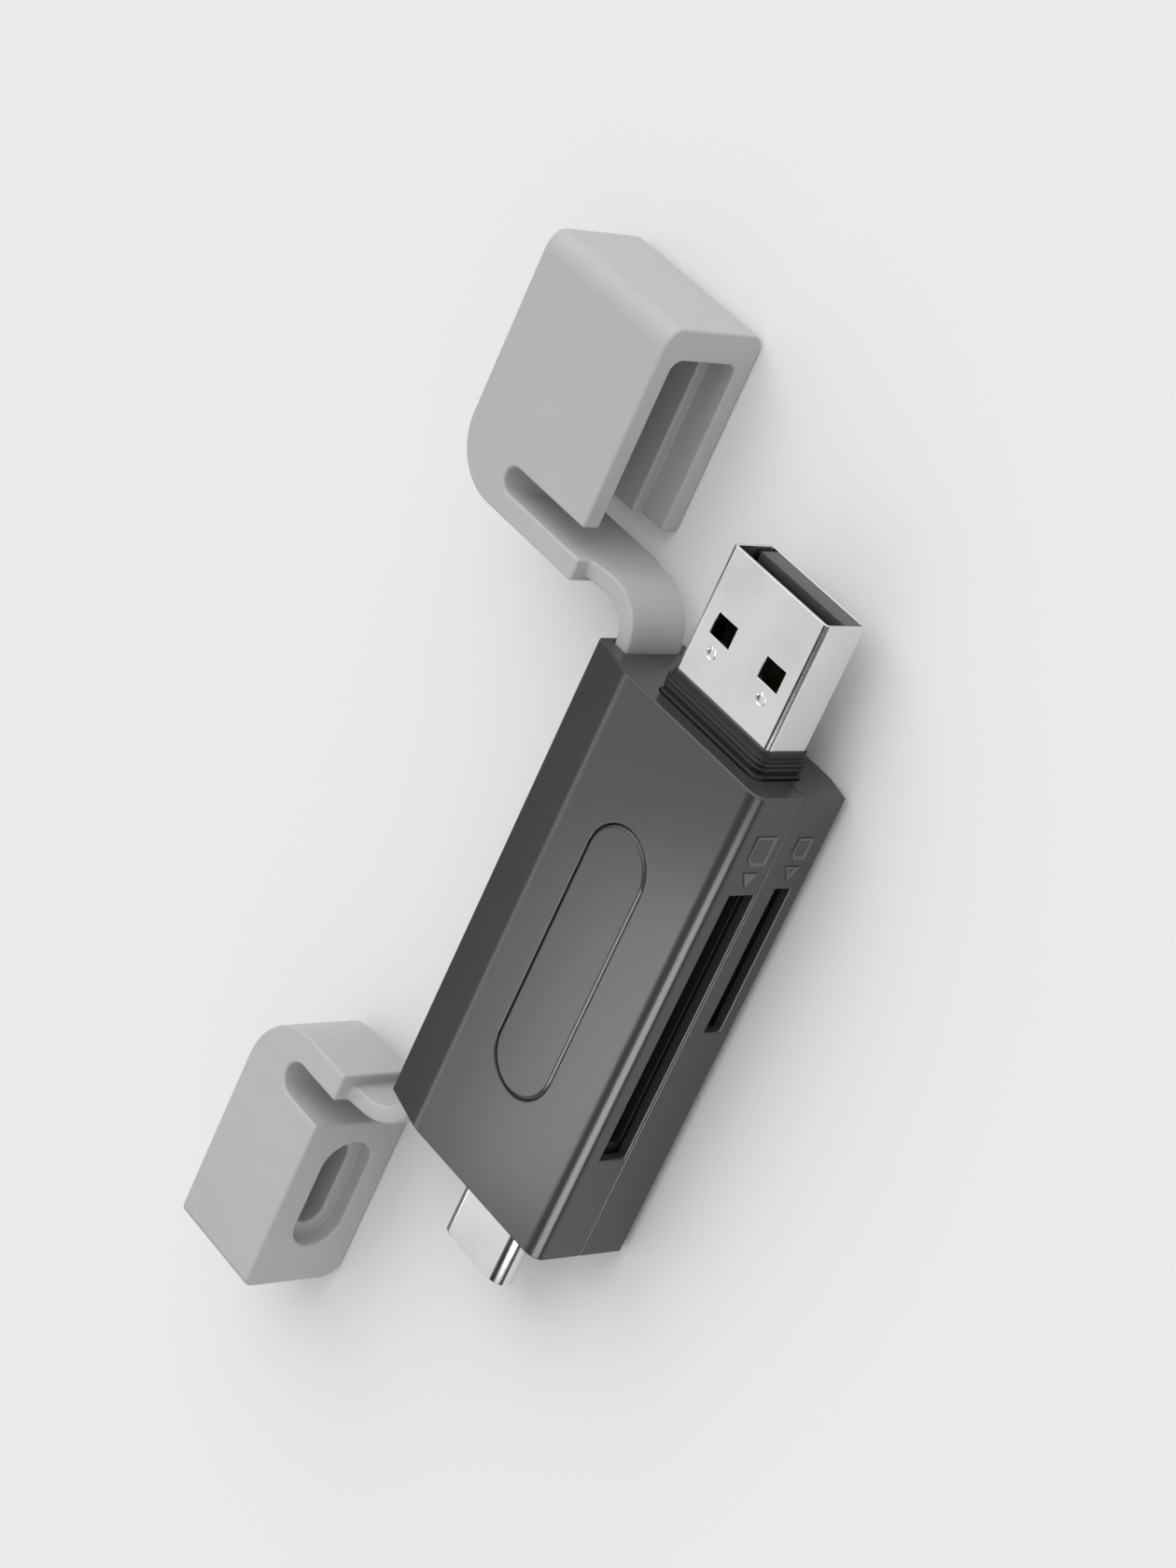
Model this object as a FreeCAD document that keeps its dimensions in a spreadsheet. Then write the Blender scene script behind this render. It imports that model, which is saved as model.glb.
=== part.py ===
import FreeCAD, Part
import math
import os
import re

import Sketcher

# Memory card reader with a plug at each end and a captive rubber cap for each plug.
# Millimetres. X runs across the width (card slots at +X), Y along the length (wide plug at +Y,
# slim plug at -Y) and Z through the thickness. The back face lies on Z = 0 and the origin is the
# centre of that face.

doc = FreeCAD.newDocument("card_reader")

SIZES = [
    # housing
    ("width", 22.7, "housing, side to side"),
    ("length", 45.2, "housing, end face to end face"),
    ("thickness", 10.5, "housing and caps, back to front"),
    ("wall", 1.0, "housing wall"),
    ("parting", 5.35, "height of the seam between the two shells"),
    ("facet_width", 5.24, "sloped strip on the front, left side"),
    ("facet_drop", 1.35, "fall of that strip at the left side"),
    ("facet_blend", 4.0, "radius between strip and front face"),
    ("front_radius", 1.05, "long front edge above the card slots"),
    ("bevel_width", 2.8, "bevel on the long back edges"),
    ("bevel_height", 0.75, "rise of that bevel"),
    ("rim_break", 0.15, "broken edge round both end faces"),
    ("lip_height", 0.6, "tongue of the front shell below the seam"),
    ("lip_thick", 0.45, "thickness of that tongue"),
    ("lip_gap", 0.05, "clearance round the tongue"),
    ("catch_length", 5.0, "snap bead on the tongue"),
    ("catch_depth", 0.15, "how far the bead stands out"),
    ("catch_high", 0.25, "height of the bead"),
    ("fit", 0.05, "clearance between a fixed piece and its opening"),
    # oval panel on the front
    ("oval_x", 1.3, "centre across"),
    ("oval_y", -0.2, "centre along"),
    ("oval_width", 7.0, "panel width"),
    ("oval_length", 25.45, "panel length"),
    ("oval_depth", 0.5, "panel thickness"),
    ("oval_gap", 0.12, "fine line round the panel"),
    # card openings in the right side
    ("large_slot_low", -12.5, "large card opening, lower end along Y"),
    ("large_slot_high", 13.5, "large card opening, upper end along Y"),
    ("large_slot_back", 5.7, "large card opening, back edge"),
    ("large_slot_front", 8.55, "large card opening, front edge"),
    ("small_slot_low", 0.0, "small card opening, lower end along Y"),
    ("small_slot_high", 14.0, "small card opening, upper end along Y"),
    ("small_slot_back", 1.9, "small card opening, back edge"),
    ("small_slot_front", 3.75, "small card opening, front edge"),
    # circuit board and what holds it
    ("board_back", 3.85, "back face of the board"),
    ("board_thick", 1.0, "board thickness"),
    ("board_left_gap", 3.75, "board to the housing's left side"),
    ("board_right_gap", 1.45, "board to the housing's right side"),
    ("board_end_gap", 2.2, "ends of the board's arms to the end faces"),
    ("wide_notch_gap", 0.3, "board edge to the rear of the wide plug"),
    ("slim_notch_gap", 0.8, "board edge to the rear of the slim plug"),
    ("notch_gap", 0.4, "board's arms to the plug shells"),
    ("post_radius", 1.1, "board posts"),
    ("post_end", 1.7, "post centres to the ends of the board's arms"),
    ("pin_radius", 0.45, "locating pins"),
    ("hole_radius", 0.5, "board holes and pin sockets"),
    ("pin_rise", 1.6, "pin length above the board's back face"),
    ("ledge_width", 1.75, "board ledge beside the wide plug, across"),
    ("ledge_length", 2.0, "board ledge beside the wide plug, along"),
    ("ledge_gap", 0.2, "ledge to the board's edge"),
    ("rib_thick", 0.8, "ribs that press on the large socket"),
    # wide plug
    ("wide_x", 2.3, "plug centre across"),
    ("wide_z", 6.05, "plug centre in height"),
    ("wide_width", 12.0, "shell, outside"),
    ("wide_thick", 4.5, "shell, outside"),
    ("wide_wall", 0.3, "shell sheet"),
    ("wide_corner", 0.5, "outer corner radius"),
    ("wide_reach", 13.66, "tip beyond the end face"),
    ("wide_rear_gap", 3.0, "rear of the shell to the large socket"),
    ("leg_setback", 1.8, "mounting legs, centre from the rear of the shell"),
    ("leg_width", 1.4, "mounting legs"),
    ("leg_depth", 0.3, "mounting legs beyond the back of the board"),
    ("tongue_thick", 1.4, "contact tongue"),
    ("tongue_setback", 0.3, "tongue end inside the tip"),
    ("tongue_root", 0.2, "front of the solid rear block, beyond the end face"),
    ("window_width", 2.4, "latch windows"),
    ("window_length", 1.95, "latch windows"),
    ("window_offset", 3.1, "latch windows, centre from plug centre"),
    ("window_setback", 6.19, "latch windows, centre inside the tip"),
    ("dimple_offset", 3.2, "round dimples, centre from plug centre"),
    ("dimple_setback", 8.36, "round dimples, centre inside the tip"),
    ("dimple_radius", 0.4, "round dimples"),
    ("dimple_depth", 0.12, "round dimples"),
    ("strip_thick", 0.15, "contact strips"),
    ("pad_width", 1.0, "front contact strips"),
    ("pad_inner", 1.0, "inner pair, centre from plug centre"),
    ("pad_outer", 3.5, "outer pair, centre from plug centre"),
    ("pad_setback", 1.26, "front ends of the front contacts, inside the tip"),
    ("spring_width", 0.6, "rear spring contacts"),
    ("spring_inner", 2.25, "inner pair, centre from plug centre"),
    ("spring_outer", 4.6, "outer pair, centre from plug centre"),
    ("spring_setback", 8.26, "front ends of the spring contacts, inside the tip"),
    ("spring_rise", 0.7, "hump of the spring contacts"),
    ("spring_hump", 2.4, "length of that hump"),
    ("tail_gap", 0.3, "solder tails to the board's edge"),
    ("tail_reach", 1.6, "solder tails on the board"),
    # collar round the wide plug
    ("collar_margin", 0.45, "ribbed block beyond the shell"),
    ("collar_core", 0.12, "depth of the grooves between the ribs"),
    ("collar_height", 1.8, "ribbed block above the end face"),
    ("collar_step", 0.5, "upper step above the block"),
    ("collar_step_margin", 0.2, "upper step beyond the shell"),
    ("collar_corner", 0.9, "corner radius of the block"),
    ("collar_flange", 1.0, "hidden flange, thickness"),
    ("flange_margin", 1.1, "hidden flange beyond the shell"),
    ("rib_height", 0.3, "each rib"),
    ("rib_spacing", 0.45, "rib to rib"),
    # slim plug
    ("slim_x", 1.55, "plug centre across"),
    ("slim_z", 5.0, "plug centre in height"),
    ("slim_width", 8.25, "shell, outside"),
    ("slim_thick", 2.4, "shell, outside"),
    ("slim_wall", 0.25, "shell sheet"),
    ("slim_reach", 7.85, "tip beyond the end face"),
    ("slim_rear_gap", 5.1, "rear of the shell to the large socket"),
    ("slim_mouth_width", 6.9, "opening in the insulator"),
    ("slim_mouth_thick", 1.05, "opening in the insulator"),
    ("slim_mouth_depth", 6.05, "depth of that opening"),
    ("slim_strip", 0.12, "contact strips, thickness"),
    ("slim_strip_width", 0.25, "contact strips"),
    ("slim_spacing", 0.5, "contact strips, centre to centre"),
    ("slim_collar_margin", 1.1, "collar beyond the shell"),
    ("slim_collar_height", 1.2, "collar beyond the end face"),
    ("slim_flange_margin", 1.8, "hidden flange beyond the shell"),
    # large card socket, on the front of the board
    ("mouth_gap", 0.25, "both sockets to the inside of the right wall"),
    ("large_inset", 1.0, "rear of the base to the board's left edge"),
    ("large_middle", 0.5, "socket centre along Y"),
    ("large_outer", 27.6, "base width"),
    ("large_inner", 24.3, "card channel width"),
    ("large_floor", 0.9, "base floor"),
    ("large_height", 3.4, "base height"),
    ("large_rear_wall", 1.2, "rear wall of the base"),
    ("sheet", 0.2, "socket covers"),
    ("large_contact_width", 0.9, "contacts"),
    ("large_contact_spacing", 2.5, "contacts, centre to centre"),
    ("large_contact_count", 9, "number of contacts"),
    # small card socket, on the back of the board
    ("small_inset", 3.6, "rear of the base to the board's left edge"),
    ("small_middle", 7.0, "socket centre along Y"),
    ("small_outer", 14.2, "base width"),
    ("small_inner", 11.3, "card channel width"),
    ("small_floor", 0.6, "base floor"),
    ("small_height", 1.65, "base height"),
    ("small_rear_wall", 1.1, "rear wall of the base"),
    ("small_contact_width", 0.6, "contacts"),
    ("small_contact_spacing", 1.1, "contacts, centre to centre"),
    ("small_contact_count", 8, "number of contacts"),
    # contacts and cover windows of both sockets, all measured from the rear of the base
    ("contact_foot", 0.8, "solder foot behind the base"),
    ("contact_flat", 3.5, "flat stretch"),
    ("contact_crest", 5.6, "crest"),
    ("contact_end", 6.6, "free end"),
    ("contact_lift", 0.45, "rise of the crest above the base floor"),
    ("vent_start", 3.5, "cover windows"),
    ("vent_length", 5.5, "cover windows"),
    ("vent_width", 1.2, "cover windows"),
    ("vent_side", 2.0, "cover windows to the side of the card channel"),
    # small electronics on the back of the board
    ("chip_x", 2.0, "controller centre"),
    ("chip_shift", 0.45, "controller towards the small socket"),
    ("chip_side", 7.0, "controller"),
    ("chip_height", 0.9, "controller"),
    ("power_long", 2.9, "supply chip"),
    ("power_wide", 1.6, "supply chip"),
    ("power_high", 1.1, "supply chip"),
    ("crystal_long", 3.2, "clock crystal"),
    ("crystal_wide", 2.5, "clock crystal"),
    ("crystal_high", 0.8, "clock crystal"),
    ("capacitor_long", 1.6, "capacitors"),
    ("capacitor_wide", 0.8, "capacitors, width and height"),
    ("resistor_long", 1.0, "resistors"),
    ("resistor_wide", 0.5, "resistors"),
    ("resistor_high", 0.35, "resistors"),
    ("part_spacing", 1.2, "spacing of the small parts round the controller"),
    # strap neck between housing and cap
    ("neck_side", 0.65, "left face to the housing's left side"),
    ("neck_thick", 1.57, "neck thickness"),
    ("neck_bend", 3.13, "inside radius of the bend"),
    ("neck_inset", 0.2, "start of the bend inside the end face"),
    ("neck_straight", 1.77, "straight stretch between bend and strap"),
    ("neck_back", 1.95, "back edge at the end face"),
    ("neck_front", 8.05, "front edge at the end face"),
    ("neck_wide_back", 1.6, "back edge at the strap"),
    ("neck_wide_front", 8.95, "front edge at the strap"),
    ("head_length", 2.2, "hidden head, along Y"),
    ("head_extra", 0.6, "hidden head beyond the neck, along X and Z"),
    ("head_play", 0.1, "head to inside of the end wall"),
    ("channel_length", 9.1, "the head's channel, from the inside of the end wall"),
    ("channel_play", 0.1, "clearance round the head"),
    ("guide_thick", 0.55, "wall beside the channel"),
    # cap of the wide plug
    ("wide_strap", 2.0, "strap thickness"),
    ("wide_gap", 2.3, "slot between strap and cap"),
    ("wide_slot", 11.2, "slot, from the start of the strap"),
    ("wide_setback", 1.0, "mouth face of the cap behind the start of the strap"),
    ("wide_cap_length", 16.3, "mouth face to closed end"),
    ("wide_cap_width", 18.2, "slot to outer long side"),
    ("wide_cap_bend", 5.4, "outer radius where strap becomes cap"),
    ("cap_corner", 1.4, "other outer corner"),
    ("cap_radius", 1.1, "long outer edges"),
    ("cap_top_wall", 2.45, "wall on the outer long side"),
    ("cap_back_wall", 1.7, "back wall round the collar"),
    ("cap_front_wall", 1.55, "front wall"),
    ("cap_recess", 3.0, "depth of the wider mouth"),
    ("cap_inner_step", 0.9, "how much the back wall is thicker past the mouth"),
    ("cap_hole_depth", 14.0, "whole depth of the cavity"),
    ("cavity_radius", 1.1, "corners of the cavity"),
    # cap of the slim plug
    ("slim_strap", 2.6, "strap thickness"),
    ("slim_gap", 3.2, "slot between strap and cap"),
    ("slim_slot", 6.5, "slot, from the start of the strap"),
    ("slim_setback", 0.6, "mouth face of the cap behind the start of the strap"),
    ("slim_cap_length", 10.7, "mouth face to closed end"),
    ("slim_cap_width", 17.7, "slot to outer long side"),
    ("slim_cap_bend", 6.0, "outer radius where strap becomes cap"),
    ("slim_hole_side", 7.95, "centre of the hole from the slot"),
    ("slim_hole_z", 4.95, "centre of the hole in height"),
    ("slim_recess_width", 11.4, "wider mouth of the hole"),
    ("slim_recess_thick", 5.2, "wider mouth of the hole"),
    ("slim_recess", 1.6, "depth of the wider mouth"),
    ("slim_hole_width", 8.75, "hole for the plug"),
    ("slim_hole_thick", 2.9, "hole for the plug"),
    ("slim_hole_depth", 8.4, "whole depth of the hole"),
]

sheet = doc.addObject("Spreadsheet::Sheet", "Sizes")
for row, (name, size, note) in enumerate(SIZES, start=1):
    sheet.set("A%d" % row, name)
    sheet.set("B%d" % row, str(size))
    sheet.set("C%d" % row, note)
    sheet.setAlias("B%d" % row, name)
doc.recompute()

NAMES = {name for name, _, _ in SIZES}


def full(text):
    """Expression text with every size name pointing at the sheet."""
    return re.sub(r"[A-Za-z_]\w*", lambda m: "Sizes." + m.group() if m.group() in NAMES else m.group(), text)


def number(text):
    """Present value of an expression."""
    return float(sheet.evalExpression(full(text)))


# Profiles: lists of corners (across, up) or (across, up, radius, turn) for an arc to the next

def rect(left, low, right, high):
    return [(left, low), (right, low), (right, high), (left, high)]


def round_rect(left, low, right, high, radius):
    """Rectangle with four round corners, anticlockwise."""
    r = "(%s)" % radius
    return [("%s + %s" % (left, r), low), ("%s - %s" % (right, r), low, r, 1),
            (right, "%s + %s" % (low, r)), (right, "%s - %s" % (high, r), r, 1),
            ("%s - %s" % (right, r), high), ("%s + %s" % (left, r), high, r, 1),
            (left, "%s - %s" % (high, r)), (left, "%s + %s" % (low, r), r, 1)]


def stadium(across, up, half_width, half_height):
    """Oval with two straight sides along the first direction, anticlockwise."""
    a, b, w, r = "(%s)" % across, "(%s)" % up, "(%s)" % half_width, "(%s)" % half_height
    left, right = "%s - %s" % (a, w), "%s + %s" % (a, w)
    return [("%s + %s" % (left, r), "%s - %s" % (b, r)), ("%s - %s" % (right, r), "%s - %s" % (b, r), r, 1),
            (right, b, r, 1), ("%s - %s" % (right, r), "%s + %s" % (b, r)),
            ("%s + %s" % (left, r), "%s + %s" % (b, r), r, 1), (left, b, r, 1)]


def swap(points):
    """The same profile with its two directions exchanged."""
    return [(p[1], p[0]) + ((p[2], -p[3]) if len(p) == 4 else ()) for p in points]


class Piece:
    """One sub-part: a body whose pads and pockets are all tied to the sizes."""

    # sketch normals against the axes of the object
    FACING = {"XY": 1, "XZ": -1, "YZ": 1}

    def __init__(self, name):
        self.body = doc.addObject("PartDesign::Body", name)
        self.body.Label = name
        self.steps = 0

    def plane(self, role):
        return next(f for f in self.body.Origin.OriginFeatures if f.Role == role)

    def sketch(self, plane, low, high, loops):
        drawing = self.body.newObject("Sketcher::SketchObject",
                                      "%s_profile_%d" % (self.body.Label, self.steps))
        drawing.AttachmentSupport = [(self.plane(plane + "_Plane"), "")]
        drawing.MapMode = "FlatFace"
        drawing.setExpression("AttachmentOffset.Base.z",
                              full("%d * ((%s) + (%s)) / 2" % (self.FACING[plane], low, high)))
        for points in loops:
            self.draw(drawing, points)
        drawing.Visibility = False
        return drawing

    @staticmethod
    def draw(drawing, points):
        """Add one closed loop and place each of its corners by expression."""
        spots = [(number(p[0]), number(p[1])) for p in points]
        ends = []
        for i, point in enumerate(points):
            a, b = spots[i], spots[(i + 1) % len(spots)]
            if len(point) == 2:
                line = Part.LineSegment(FreeCAD.Vector(a[0], a[1], 0), FreeCAD.Vector(b[0], b[1], 0))
                ends.append((drawing.addGeometry(line, False), 1, 2))
                continue
            radius, turn = number(point[2]), point[3]
            chord = math.dist(a, b)
            lift = math.sqrt(max(radius ** 2 - chord ** 2 / 4, 0))
            normal = (-(b[1] - a[1]) / chord * turn, (b[0] - a[0]) / chord * turn)
            centre = ((a[0] + b[0]) / 2 + normal[0] * lift, (a[1] + b[1]) / 2 + normal[1] * lift)
            first, last = (a, b) if turn > 0 else (b, a)
            start = math.atan2(first[1] - centre[1], first[0] - centre[0])
            stop = math.atan2(last[1] - centre[1], last[0] - centre[0])
            circle = Part.Circle(FreeCAD.Vector(centre[0], centre[1], 0), FreeCAD.Vector(0, 0, 1), radius)
            arc = drawing.addGeometry(Part.ArcOfCircle(circle, start, stop), False)
            ends.append((arc, 1, 2) if turn > 0 else (arc, 2, 1))
            which = drawing.addConstraint(Sketcher.Constraint("Radius", arc, radius))
            drawing.setExpression("Constraints[%d]" % which, full(point[2]))
        for i, (item, first, last) in enumerate(ends):
            after = ends[(i + 1) % len(ends)]
            drawing.addConstraint(Sketcher.Constraint("Coincident", item, last, after[0], after[1]))
        for (item, first, last), spot, point in zip(ends, spots, points):
            for kind, place, text in (("DistanceX", spot[0], point[0]), ("DistanceY", spot[1], point[1])):
                which = drawing.addConstraint(Sketcher.Constraint(kind, -1, 1, item, first, place))
                drawing.setExpression("Constraints[%d]" % which, full(text))

    def feature(self, kind, plane, low, high, loops):
        self.steps += 1
        drawing = self.sketch(plane, low, high, loops)
        step = self.body.newObject("PartDesign::" + kind,
                                   "%s_%s_%d" % (self.body.Label, kind.lower(), self.steps))
        step.Profile = drawing
        step.SideType = "Symmetric"
        step.setExpression("Length", full("(%s) - (%s)" % (high, low)))
        self.body.Tip = step
        return step

    def add(self, plane, low, high, *loops):
        """Pad one or more loops between two heights along the plane's normal axis."""
        return self.feature("Pad", plane, low, high, loops)

    def cut(self, plane, low, high, *loops):
        """Pocket one or more loops between two heights along the plane's normal axis."""
        return self.feature("Pocket", plane, low, high, loops)

    def hole(self, across, up, low, high, radius, solid=False):
        """Round pocket, or round pad, along Z."""
        self.steps += 1
        drawing = self.sketch("XY", low, high, [])
        x, y, r = number(across), number(up), number(radius)
        circle = drawing.addGeometry(Part.Circle(FreeCAD.Vector(x, y, 0), FreeCAD.Vector(0, 0, 1), r), False)
        for kind, args, text in (("DistanceX", (-1, 1, circle, 3, x), across),
                                 ("DistanceY", (-1, 1, circle, 3, y), up), ("Radius", (circle, r), radius)):
            which = drawing.addConstraint(Sketcher.Constraint(kind, *args))
            drawing.setExpression("Constraints[%d]" % which, full(text))
        kind = "Pad" if solid else "Pocket"
        step = self.body.newObject("PartDesign::" + kind, "%s_round_%d" % (self.body.Label, self.steps))
        step.Profile = drawing
        step.SideType = "Symmetric"
        step.setExpression("Length", full("(%s) - (%s)" % (high, low)))
        self.body.Tip = step
        return step

    def repeat(self, step, axis, count, pitch):
        """Repeat the last pad or pocket along an axis of the object."""
        self.steps += 1
        row = self.body.newObject("PartDesign::LinearPattern", "%s_row_%d" % (self.body.Label, self.steps))
        row.Originals = [step]
        row.Direction = (self.plane(axis + "_Axis"), [""])
        row.setExpression("Occurrences", full(count))
        row.setExpression("Length", full("(%s) * ((%s) - 1)" % (pitch, count)))
        self.body.Tip = row
        return row

    def soften(self, radius, wanted, kind="Fillet"):
        """Round or bevel the edges that the test picks, given their lowest and highest corners."""
        doc.recompute()
        tip = self.body.Tip
        edges = ["Edge%d" % (i + 1) for i, edge in enumerate(tip.Shape.Edges) if wanted(edge.BoundBox)]
        if not edges:
            raise RuntimeError("%s: no edge found to round" % self.body.Label)
        self.steps += 1
        step = self.body.newObject("PartDesign::" + kind, "%s_edge_%d" % (self.body.Label, self.steps))
        step.Base = (tip, edges)
        step.setExpression("Radius" if kind == "Fillet" else "Size", full(radius))
        self.body.Tip = step
        return step


def near(a, text, slack=0.02):
    return abs(a - number(text)) < slack


def box(name, x0, y0, z0, x1, y1, z1):
    """Plain block between two corners, placed and sized by expression."""
    block = doc.addObject("Part::Box", name)
    block.Label = name
    for prop, low, high in (("Length", x0, x1), ("Width", y0, y1), ("Height", z0, z1)):
        block.setExpression(prop, full("(%s) - (%s)" % (high, low)))
    for axis, low in (("x", x0), ("y", y0), ("z", z0)):
        block.setExpression("Placement.Base." + axis, full(low))
    return block


def group(name, blocks):
    """Several loose blocks handled as one sub-part."""
    whole = doc.addObject("Part::MultiFuse", name)
    whole.Label = name
    whole.Shapes = blocks
    return whole


SUBPARTS = []


def keep(item):
    SUBPARTS.append(item.body if isinstance(item, Piece) else item)
    return item


# Places used by several pieces, tied to the faces of the housing
HALF_W, HALF_L = "width / 2", "length / 2"
BOARD_FRONT = "board_back + board_thick"
BOARD_LEFT = "-width / 2 + board_left_gap"
BOARD_RIGHT = "width / 2 - board_right_gap"
BOARD_REACH = HALF_L + " - board_end_gap"
WIDE_ARM = "wide_x - wide_width / 2 - notch_gap"
SLIM_ARM_LEFT = "slim_x - slim_width / 2 - notch_gap"
SLIM_ARM_RIGHT = "slim_x + slim_width / 2 + notch_gap"
POST_Y = BOARD_REACH + " - post_end"
POSTS = [("(%s + %s) / 2" % (BOARD_LEFT, WIDE_ARM), POST_Y),
         ("(%s + %s) / 2" % (BOARD_LEFT, SLIM_ARM_LEFT), "-(%s)" % POST_Y),
         ("(%s + %s) / 2" % (SLIM_ARM_RIGHT, BOARD_RIGHT), "-(%s)" % POST_Y)]
WIDE_REAR = "large_middle + large_outer / 2 + sheet + wide_rear_gap"
SLIM_REAR = "large_middle - large_outer / 2 - sheet - slim_rear_gap"
WIDE_NOTCH = WIDE_REAR + " - wide_notch_gap"
SLIM_NOTCH = SLIM_REAR + " + slim_notch_gap"
LEDGE = (WIDE_NOTCH + " - ledge_gap - ledge_length", WIDE_NOTCH + " - ledge_gap")
LEGS = (WIDE_REAR + " - leg_setback - leg_width / 2", WIDE_REAR + " - leg_setback + leg_width / 2")
WIDE_TIP = HALF_L + " + wide_reach"
SLIM_TIP = "-length / 2 - slim_reach"
SOCKET_MOUTH = "width / 2 - wall - mouth_gap"
LARGE_REAR = BOARD_LEFT + " + large_inset"
SMALL_REAR = BOARD_LEFT + " + small_inset"
NECK_LEFT = "-width / 2 + neck_side"
NECK_RIGHT = NECK_LEFT + " + neck_thick"
HEAD_RIGHT = NECK_RIGHT + " + head_extra"
CHANNEL_END = HALF_L + " - wall - channel_length"
BEND_X = NECK_LEFT + " - neck_bend"
BEND_Y = HALF_L + " - neck_inset"
STRAP_START = BEND_X + " - neck_straight"
STRAP_LINE = BEND_Y + " + neck_bend + neck_thick"      # slot side of both straps, from the middle


def wide_section(grow, corner):
    """Cross-section of the wide plug's shell, grown outwards by a margin."""
    return round_rect("wide_x - wide_width / 2 - (%s)" % grow, "wide_z - wide_thick / 2 - (%s)" % grow,
                      "wide_x + wide_width / 2 + (%s)" % grow, "wide_z + wide_thick / 2 + (%s)" % grow,
                      corner)


def slim_section(grow):
    """Cross-section of the slim plug's shell, grown outwards by a margin."""
    return stadium("slim_x", "slim_z", "slim_width / 2 + (%s)" % grow, "slim_thick / 2 + (%s)" % grow)


def end_openings(shell):
    """Openings of the two end faces and the hidden channels of the strap heads."""
    shell.cut("XZ", HALF_L + " - wall - fit", HALF_L + " + 1",
              wide_section("collar_margin + fit", "collar_corner"))
    shell.cut("XZ", "-%s - 1" % HALF_L, "-%s + wall + fit" % HALF_L, slim_section("slim_collar_margin + fit"))
    neck = rect(NECK_LEFT + " - fit", "neck_back - fit", NECK_RIGHT + " + fit", "neck_front + fit")
    room = rect(NECK_LEFT + " - fit", "neck_back - head_extra - channel_play",
                HEAD_RIGHT + " + channel_play", "neck_front + head_extra + channel_play")
    for low, high, profile in ((HALF_L + " - wall - fit", HALF_L + " + 1", neck),
                               ("-%s - 1" % HALF_L, "-%s + wall + fit" % HALF_L, neck),
                               (CHANNEL_END, HALF_L + " - wall", room),
                               ("-%s + wall" % HALF_L, "-(%s)" % CHANNEL_END, room)):
        shell.cut("XZ", low, high, profile)


def rim(box_):
    """Edges of the two end faces' outer outline."""
    flat = abs(box_.YMax - box_.YMin) < 1e-6 and abs(abs(box_.YMax) - number(HALF_L)) < 1e-6
    outside = (near(box_.ZMax, "thickness") and near(box_.ZMin, "thickness")) or near(box_.ZMax, "0") \
        or (near(box_.XMin, "-width / 2") and near(box_.XMax, "-width / 2")) \
        or (near(box_.XMin, "width / 2") and near(box_.XMax, "width / 2"))
    return flat and outside


# Front shell
front = keep(Piece("front_shell"))
front.add("XZ", "-" + HALF_L, HALF_L, [
    ("-width / 2", "parting"), (HALF_W, "parting"), (HALF_W, "thickness - front_radius", "front_radius", 1),
    (HALF_W + " - front_radius", "thickness"), ("-width / 2 + facet_width", "thickness"),
    ("-width / 2", "thickness - facet_drop")])
front.soften("facet_blend", lambda b: near(b.XMin, "-width / 2 + facet_width") and
             near(b.XMax, "-width / 2 + facet_width") and near(b.ZMin, "thickness"))
front.soften("rim_break", rim)
INSET = "(wall - lip_thick)"
front.add("XY", "parting - lip_height", "parting + 0.5", rect(
    "-width / 2 + " + INSET, "-length / 2 + " + INSET, "width / 2 - " + INSET, "length / 2 - " + INSET))
catch_z = "parting - lip_height / 2"
for side in (-1, 1):
    edge = "%d * (width / 2 - wall + lip_thick)" % side
    out = "%d * (width / 2 - wall + lip_thick + catch_depth)" % side
    low, high = (out, edge) if side < 0 else (edge, out)
    for y in ("-7", "7"):
        front.add("XY", catch_z + " - catch_high / 2", catch_z + " + catch_high / 2",
                  rect(low, y + " - catch_length / 2", high, y + " + catch_length / 2"))
front.cut("XZ", "-length / 2 + wall", "length / 2 - wall", [
    ("-width / 2 + wall", "parting - 2"), ("width / 2 - wall", "parting - 2"),
    ("width / 2 - wall", "thickness - wall"), ("-width / 2 + facet_width", "thickness - wall"),
    ("-width / 2 + wall", "thickness - wall - facet_drop")])
front.cut("YZ", "width / 2 - wall - 0.2", "width / 2 + 1",
          rect("large_slot_low", "large_slot_back", "large_slot_high", "large_slot_front"))
front.cut("XY", "thickness - oval_depth", "thickness + 1",
          swap(stadium("oval_y", "oval_x", "oval_length / 2 + oval_gap", "oval_width / 2 + oval_gap")))
for x, y in POSTS:
    front.hole(x, y, BOARD_FRONT, "thickness - wall + 0.2", "post_radius", solid=True)
    front.hole(x, y, BOARD_FRONT + " - 0.5", "board_back + pin_rise + 0.2", "hole_radius")
front.add("XY", BOARD_FRONT, "thickness - wall + 0.2",
          rect("width / 2 - wall - ledge_width", LEDGE[0], "width / 2 - wall + 0.2", LEDGE[1]))
for y in ("large_middle - 8", "large_middle + 8"):
    front.add("XY", BOARD_FRONT + " + large_height + sheet", "thickness - wall + 0.2",
              rect(LARGE_REAR + " + 1.6", y + " - rib_thick / 2", SOCKET_MOUTH + " - 1.1",
                   y + " + rib_thick / 2"))
end_openings(front)
for sign in (1, -1):
    low, high = (CHANNEL_END, HALF_L + " + 1") if sign > 0 else ("-length / 2 - 1", "-(%s)" % CHANNEL_END)
    front.cut("XY", "parting - lip_height - 1", "parting",
              rect("-width / 2", low, HEAD_RIGHT + " + channel_play", high))

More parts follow.
